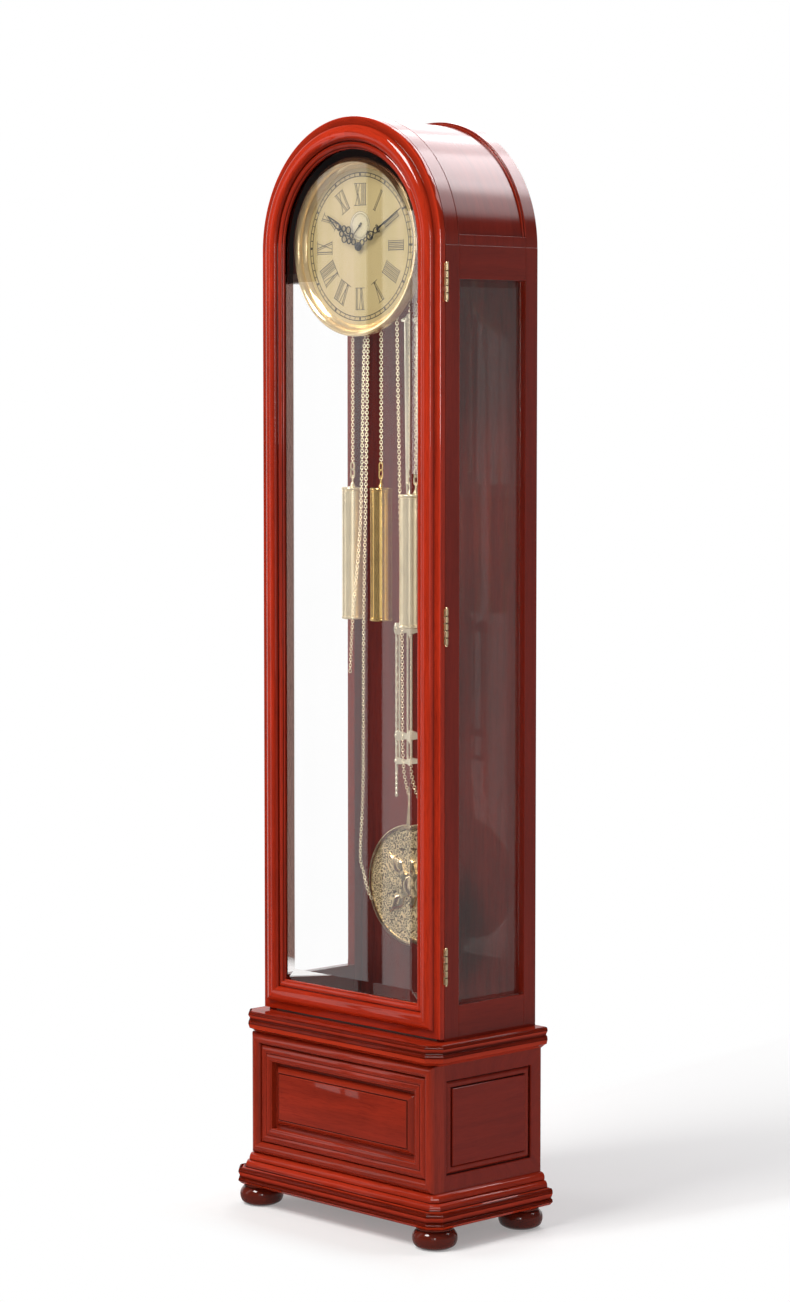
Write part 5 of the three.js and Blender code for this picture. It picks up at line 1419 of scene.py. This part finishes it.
def chain_links(shape, path, pitch, wire):
    """Oval links threaded along a path, every other one turned a quarter about it. One link is a
    tube round a racetrack; all the links are placed at once from the path's own directions. A
    turned link is a mirrored one, so its faces run the other way."""
    path = np.asarray(path, float)
    run = np.concatenate([[0], np.cumsum(np.linalg.norm(np.diff(path, axis=0), axis=1))])
    count = int(run[-1] / pitch)
    s = (np.arange(count) + 0.5) * pitch
    at = lambda d: np.stack([np.interp(d, run, path[:, k]) for k in range(3)], -1)
    centre, along = at(s), at(np.minimum(s + 1.5, run[-1])) - at(np.maximum(s - 1.5, 0))
    along /= np.linalg.norm(along, axis=1)[:, None]
    side = np.cross(along, (-0.71, 0.71, 0))
    side /= np.linalg.norm(side, axis=1)[:, None]
    third = np.cross(side, along)
    odd = (np.arange(count) % 2 == 1)[:, None]
    side, third = np.where(odd, third, side), np.where(odd, side, third)
    half = 2.5
    straight = pitch / 2 + wire - half
    a = np.radians(np.arange(0, 360, 36))
    u = half * np.cos(a)
    v = half * np.sin(a) + np.where(np.sin(a) >= 0, straight, -straight)
    out = np.stack([np.cos(a), np.sin(a)], -1)
    b = np.radians(np.arange(0, 360, 90) + 45)
    ring_u = u[:, None] + wire * np.cos(b) * out[:, :1]
    ring_v = v[:, None] + wire * np.cos(b) * out[:, 1:]
    ring_w = wire * np.sin(b) + 0 * ring_u
    grid = (centre[:, None, None] + ring_u[None, ..., None] * side[:, None, None]
            + ring_v[None, ..., None] * along[:, None, None] + ring_w[None, ..., None] * third[:, None, None])
    n, m = ring_u.shape
    i, j = np.meshgrid(np.arange(n), np.arange(m), indexing="ij")
    quad = np.stack([((i + p) % n) * m + (j + q) % m for p, q in ((0, 0), (1, 0), (1, 1), (0, 1))], -1)
    quad = quad.reshape(-1, 4)
    for first, turn in ((0, quad), (1, quad[:, ::-1])):
        part = grid.reshape(count, n * m, 3)[first::2]
        faces = (turn[None] + (np.arange(len(part)) * n * m)[:, None, None]).reshape(-1, 4)
        points = part.reshape(-1, 3)
        shape.add(points, [(faces, points[faces][..., ::2])])


def make_chains():
    """Each chain is two pieces: the strand that its weight hangs on, and the part over its wheel
    with the free end."""
    sizes = bpy.context.scene.longcase_sizes
    pitch, wire = sizes.link_pitch * 1000, sizes.link_wire * 1000
    seat_top, floor_top = corners("seat_board")[1][2], corners("case_floor_board")[1][2]
    y = middle("weight_centre")[1]
    for name in ("left", "centre", "right"):
        wheel = middle(f"chain_wheel_{name}")
        strand_x = middle(f"weight_{name}")[0]
        side = -1 if name == "left" else 1
        radius = abs(strand_x - wheel[0])
        hook, join_z = corners(f"weight_{name}")[1][2] - 2.0, wheel[2] - 16
        strand = Shape()
        pull = np.array([[strand_x, y, join_z], [strand_x, y, hook]])
        count = int((join_z - hook) / pitch)
        chain_links(strand, pull, (join_z - hook) / (count // 2 * 2), wire)
        piece = strand.object(f"chain_{name}_strand", None, "Chain brass", covers=f"chain_{name}")
        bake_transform(piece)
        tail_x = strand_x - side * 2 * radius
        a = np.radians(np.linspace(0, 180, 25))
        over = np.stack([wheel[0] + side * radius * np.cos(a), 0 * a + y, wheel[2] + radius * np.sin(a)], -1)
        free = [[tail_x + dx * TAIL_LEAN, y + dy * TAIL_LEAN, seat_top - down * (seat_top - floor_top)]
                for dx, dy, down in TAIL_ROUTES[name]]
        path = np.concatenate([[[strand_x, y, join_z]], over, curve([over[-1], *free], 12)[1:]])
        tail = Shape()
        chain_links(tail, path, pitch, wire)
        tail.object(f"chain_{name}_tail", "case", "Chain brass", covers=f"chain_{name}")


# ---------- pendulum ----------
def make_leader():
    """The top of the pendulum: a shaped header on its hook, with two ridged blades below."""
    low, high = corners("pendulum_leader")
    y = middle("pendulum_leader")[1]
    foot, hook_z = low[2], high[2]
    header_top, header_low = hook_z - 101, hook_z - 117
    shape = Shape()
    half = curve([[24, header_low], [24.4, header_low + 4], [19, header_low + 7], [12, header_low + 9.5],
                  [9, header_low + 13.5], [3.5, header_low + 15.6], [0, header_top]], 4)
    outline = np.concatenate([half, half[::-1][1:] * [-1, 1]])
    shape.outline([np.insert(outline * s + [0, (1 - s) * (header_low + 7)], 1, d, axis=1)
                   for s, d in ((0.93, y + 4), (1, y + 3), (1, y - 3), (0.93, y - 4))])
    for x in (-11, 11):
        edge = np.array([[x - 8, header_low + 1], [x - 8, header_low - 40], [x - 3.5, foot], [x + 3.5, foot],
                         [x + 8, header_low - 40], [x + 8, header_low + 1]])
        ridge = edge.copy()
        ridge[:, 0] = x + (edge[:, 0] - x) * 0.55
        shape.outline([np.insert(p, 1, d, axis=1) for p, d in
                       ((edge, y + 1.2), (edge, y - 0.6), (ridge, y - 1.6))])
        shape.turned([[0, foot - 2.4], [2.6, foot - 2], [3.4, foot + 1.5], [2.6, foot + 4], [0, foot + 4.4]],
                     (x, y, 0), sides=20)
    shape.turned([[0, header_top - 1], [2.5, header_top - 1], [2.5, hook_z - 14], [3.6, hook_z - 12],
                  [3.6, hook_z - 8], [2.2, hook_z - 6], [2.2, hook_z], [0, hook_z]], (0, y, 0), sides=24)
    for x in (-16, 0, 16):
        shape.turned([[0, y - 5.2], [1.6, y - 5.0], [2.6, y - 4.2], [2.6, y - 3.4], [0, y - 3.4]],
                     (x, 0, header_low + 5), axis="y", sides=16)
    soften(shape.object("pendulum_leader", "pendulum", "Pale brass"), 0.3)


def twisted_rod(shape, x, y, z0, z1, radius, twist=16.0):
    """A rod twisted like rope: a four-lobed section that turns steadily as it goes up."""
    n = max(int((z1 - z0) / 3.0), 8)
    z = np.linspace(z0, z1, n)[:, None]
    a = np.linspace(0, 2 * math.pi, 12, endpoint=False)[None, :]
    r = radius * (0.86 + 0.14 * np.cos(2 * (a - z / twist * math.pi)))
    grid = np.stack([x + r * np.cos(a), y + r * np.sin(a), z + 0 * a], -1)
    shape.solid(grid)


def beaded_rod(shape, x, y, z0, z1, radius, pitch=11.0):
    """A turned rod with a row of beads; the radius swells and closes once for each bead."""
    n = int((z1 - z0) / pitch * 8) + 1
    z = np.linspace(z0, z1, n)
    r = radius * (0.52 + 0.48 * np.abs(np.sin((z - z0) / pitch * math.pi)) ** 0.7)
    profile = np.stack([r, z], -1)
    shape.turned(np.concatenate([[[0, z0]], profile, [[0, z1]]]), (x, y, 0), sides=14)


def make_lattice():
    """Three flat bars joined by plain rods, with twisted and beaded rods outside and between."""
    y = middle("pendulum_lattice")[1]
    blade_foot, hook_z = corners("pendulum_leader")[0][2], corners("pendulum_leader")[1][2]
    bow_top, upper_top, lower_top, spade_top = (hook_z - drop for drop in (660, 860, 912, 966))
    shape = Shape()

    def bar(top, height, half, point):
        """A flat bar, waisted towards pointed ends, with a small point up and down in the middle."""
        edge = curve([[half, top - height / 2], [half - 4, top - 0.22 * height],
                      [half - 13, top - 0.20 * height], [13, top - 0.32 * height],
                      [7, top - 0.24 * height], [0, top - (0 if point else 0.1) * height]], 4)
        left = edge[::-1][1:] * [-1, 1]
        upper = np.concatenate([edge, left])
        lower = upper[::-1][1:-1] * [1, -1] + [0, 2 * (top - height / 2)]
        outline = np.concatenate([upper, lower])
        mid = np.array([0, top - height / 2])
        shape.outline([np.insert(mid + (outline - mid) * s, 1, d, axis=1)
                       for s, d in ((0.95, y + 3), (1, y + 2.2), (1, y - 2.2), (0.94, y - 3))])

    bar(bow_top, 36, 45, True)
    bar(upper_top, 30, 43, True)
    bar(lower_top, 20, 43, False)
    for side in (-1, 1):
        shape.turned([[0, bow_top - 18], [2.2, bow_top - 18], [2.2, blade_foot], [0, blade_foot]],
                     (side * 11, y, 0), sides=16)
        for x in (9.5, 31):
            shape.turned([[0, lower_top - 10], [2.2, lower_top - 10], [2.2, bow_top - 18], [0, bow_top - 18]],
                         (side * x, y, 0), sides=16)
        twisted_rod(shape, side * 39, y, lower_top - 30, bow_top - 18, 3.0)
        beaded_rod(shape, side * 39, y, lower_top - 77, lower_top - 30, 3.0, 9.4)
        for z in (bow_top - 18, upper_top - 15, lower_top - 10):
            shape.turned([[0, y - 4.6], [2.2, y - 4.4], [3.4, y - 3.2], [3.4, y - 2.4], [0, y - 2.4]],
                         (side * 39, 0, z), axis="y", sides=16)
    twisted_rod(shape, 0, y, upper_top - 15, bow_top - 18, 3.0)
    beaded_rod(shape, 0, y, spade_top, upper_top - 15, 3.0)
    shape.object("pendulum_lattice", "pendulum", "Pale brass")


def make_bob():
    """The bob: a shallow dished disc with a thin rim, engraved scrolls, and a raised polished
    cross of four arms with a boss, under a spade-shaped neck."""
    low, high = corners("pendulum_bob")
    y = middle("pendulum_bob")[1]
    r = (high[0] - low[0]) / 2
    centre = low[2] + r
    spade_top = high[2]
    t = 8.0
    shape = Shape()
    shape.turned(np.concatenate([
        [[0, y - 1.0], [0.90 * r, y - 1.0], [0.925 * r, y - 1.2]],
        curve([[0.935 * r, y - 2.0], [0.965 * r, y - 3.2], [0.99 * r, y - 2.4], [r, y - 0.5]], 3),
        [[r, y + 2], [0.97 * r, y + 4.4]],
        curve([[0.9 * r, y + 5.2], [0.5 * r, y + 7.2], [0, y + t]], 5)]),
        (0, 0, centre), axis="y", sides=96, slot=1)
    shape.ribbon(arc((0, centre), 0.955 * r, 0, 357, 119), 7.0, y - 3.0, y - 0.6, loop=True, crown=1.0)
    for k in range(4):
        turn = math.radians(45 + 90 * k)
        c, s = math.cos(turn), math.sin(turn)
        half = curve([[0.13 * r, 0.085 * r], [0.22 * r, 0.04 * r], [0.30 * r, 0.075 * r],
                      [0.40 * r, 0.12 * r], [0.50 * r, 0.085 * r], [0.60 * r, 0.03 * r], [0.70 * r, 0.0]], 4)
        loop = np.concatenate([half, half[::-1][1:] * [1, -1]])
        mid = loop.mean(0)
        rows = []
        for size, depth in ((1, y - 0.8), (1, y - 3.2), (0.80, y - 5.6), (0.45, y - 6.8)):
            p = mid + (loop - mid) * size
            p = np.stack([p[:, 0] * c - p[:, 1] * s, centre + p[:, 0] * s + p[:, 1] * c], -1)
            rows.append(np.insert(p, 1, depth, axis=1))
        shape.outline(rows)
    shape.turned(np.concatenate([
        curve([[0, y - t], [0.06 * r, y - t + 0.4], [0.13 * r, y - t + 2.0], [0.165 * r, y - t + 4.2]], 4),
        [[0.17 * r, y - 3.0], [0.20 * r, y - 2.6], [0.20 * r, y - 0.8], [0, y - 0.8]]]),
        (0, 0, centre), axis="y", sides=48)
    foot = centre + 0.9 * r
    waist = spade_top - 0.27 * (spade_top - foot)
    neck = curve([[5, spade_top], [8.6, waist + 5], [7.2, waist - 10], [9.5, (waist + foot) / 2],
                  [14, foot]], 6)
    outline = np.concatenate([neck, neck[::-1] * [-1, 1]])
    mid = outline.mean(0)
    shape.outline([np.insert(mid + (outline - mid) * s, 1, d, axis=1)
                   for s, d in ((0.94, y + 2.5), (1, y + 1.6), (1, y - 1.6), (0.86, y - 2.5))])
    shape.object("pendulum_bob", "pendulum", "Bob brass", "Bob ground")


# ---------- pieces kept from the frame ----------
def finish_frame_nodes():
    """Frame pieces that keep their own shape get a worked finish."""
    finishes = {
        "Inside shelf": ("case_floor_board", "seat_board"),
        "Inside boards": ("case_back_board", "base_back_board"),
        "Black steel": ("door_catch", "chime_rods"),
        "Movement brass": ("movement_front_plate", "movement_back_plate", "chain_wheel_left",
                           "chain_wheel_centre", "chain_wheel_right"),
    }
    for look, names in finishes.items():
        for name in names:
            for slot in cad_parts[name].material_slots:
                slot.material = finish(look)


# ---------- operators ----------
def builder(idname, label, doc, work):
    """An operator class that runs some making functions in order."""
    def execute(self, context):
        for step in work:
            step()
        return {"FINISHED"}
    return type("LONGCASE_OT_" + idname, (bpy.types.Operator,), {
        "bl_idname": "longcase." + idname, "bl_label": label, "bl_description": doc, "__doc__": doc,
        "bl_options": {"REGISTER", "UNDO"}, "execute": execute})


class LONGCASE_OT_stage(bpy.types.Operator):
    """Sets up the floor, the room light, the lamps and the camera"""
    bl_idname = "longcase.stage"
    bl_label = "Floor, lamps and camera"

    def execute(self, context):
        settings = context.scene.longcase_stage
        context.scene.view_settings.view_transform = "Standard"
        make_camera()
        make_world(settings)
        make_floor(settings)
        make_lamp("key lamp", (-0.4, -3.0, 4.6), (0, 0, 1.1), (1.6, 2.2), settings.key_power, (1, 0.99, 0.97))
        pink = (1.0, 0.965, 0.985)
        for x0, x1, y, depth, level in ((-1.4, -0.1, 2.35, 1.0, 0.45), (-0.1, 1.35, 2.25, 0.9, 0.8),
                                        (1.35, 1.75, 2.55, 0.9, 0.6), (1.75, 3.2, 3.15, 1.3, 0.3)):
            x = (x0 + x1) / 2
            make_lamp("ceiling lamp", (x, y, 4.0), (x, 0.1, 1.9), (x1 - x0, depth),
                      settings.top_power * level * (x1 - x0) * depth, pink)
        make_lamp("back lamp", (-1.9, 2.5, 3.3), (0.08, 0.0, 1.95), (1.6, 2.2),
                  settings.top_power * 0.8, pink)
        foot = 0.07
        for x0, x1, top, level in ((-1.40, -1.30, 1.76, 0.8), (-1.30, -1.135, 2.09, 1.0),
                                   (-1.085, -0.965, 2.09, 1.0)):
            x, z = (x0 + x1) / 2, (top + foot) / 2
            make_lamp("window strip", (x, -1.2, z), (x, 0, z), (x1 - x0, top - foot),
                      settings.strip_power * level * (x1 - x0))
        make_lamp("fill lamp", (4.4, -5.2, 2.0), (0, 0, 1.3), (3.0, 3.2), settings.fill_power)
        make_lamp("left lamp", (-3.6, -1.8, 2.4), (0, 0, 1.2), (1.2, 2.4), settings.left_power,
                  mirrored=False)
        make_lamp("glint lamp", (4.9, -4.6, 2.2), (0, 0, 1.3), (0.7, 1.8), settings.glint_power)
        return {"FINISHED"}


OPERATORS = [
    LONGCASE_OT_stage,
    builder("base", "Base", "Makes the feet, plinth, base frame and panels, and surbase",
            (make_feet, make_plinth, make_base_front, make_base_panel, make_base_sides, make_surbase)),
    builder("trunk", "Trunk and hood", "Makes the side frames and the barrel hood",
            (make_side_frames, make_hood)),
    builder("door", "Door", "Makes the moulded door frame and the hinges", (make_door_frame, make_hinges)),
    builder("glass", "Glass", "Makes the panes with their ground borders", (make_glass,)),
    builder("dial", "Dial and hands", "Makes the dial, its bezel and the hands",
            (make_dial, make_bezel, make_hands)),
    builder("weights", "Weights and chains", "Makes the weights and their link chains",
            (make_weights, make_chains)),
    builder("pendulum", "Pendulum", "Makes the pendulum's blades, lattice and bob",
            (make_leader, make_lattice, make_bob)),
    builder("frame_finishes", "Inner boards and movement", "Gives the frame's own pieces their finishes",
            (finish_frame_nodes,)),
]


class LONGCASE_PT_panel(bpy.types.Panel):
    """Lists the clock's settings and the buttons that build it"""
    bl_idname = "LONGCASE_PT_panel"
    bl_label = "Long-case clock"
    bl_space_type = "VIEW_3D"
    bl_region_type = "UI"
    bl_category = "Clock"

    def draw(self, context):
        layout = self.layout
        for name in SETTINGS:
            layout.label(text=name.removeprefix("longcase_").capitalize())
            settings = getattr(context.scene, name)
            for key in settings.__annotations__:
                layout.prop(settings, key)
        layout.label(text="Build")
        for operator in OPERATORS:
            layout.operator(operator.bl_idname)


CLASSES = [LongcaseColours, LongcaseSizes, LongcaseStage, *OPERATORS, LONGCASE_PT_panel]
SETTINGS = {"longcase_sizes": LongcaseSizes, "longcase_colours": LongcaseColours,
            "longcase_stage": LongcaseStage}


def register():
    """Adds the settings, the operators and the panel."""
    for cls in CLASSES:
        bpy.utils.register_class(cls)
    for name, cls in SETTINGS.items():
        setattr(bpy.types.Scene, name, bpy.props.PointerProperty(type=cls))


def unregister():
    """Takes them all away again."""
    for name in SETTINGS:
        delattr(bpy.types.Scene, name)
    for cls in reversed(CLASSES):
        bpy.utils.unregister_class(cls)


def main():
    """Builds the clock by its operators in turn."""
    register()
    for operator in OPERATORS:
        group, name = operator.bl_idname.split(".")
        getattr(getattr(bpy.ops, group), name)()


if __name__ == "__main__":
    main()
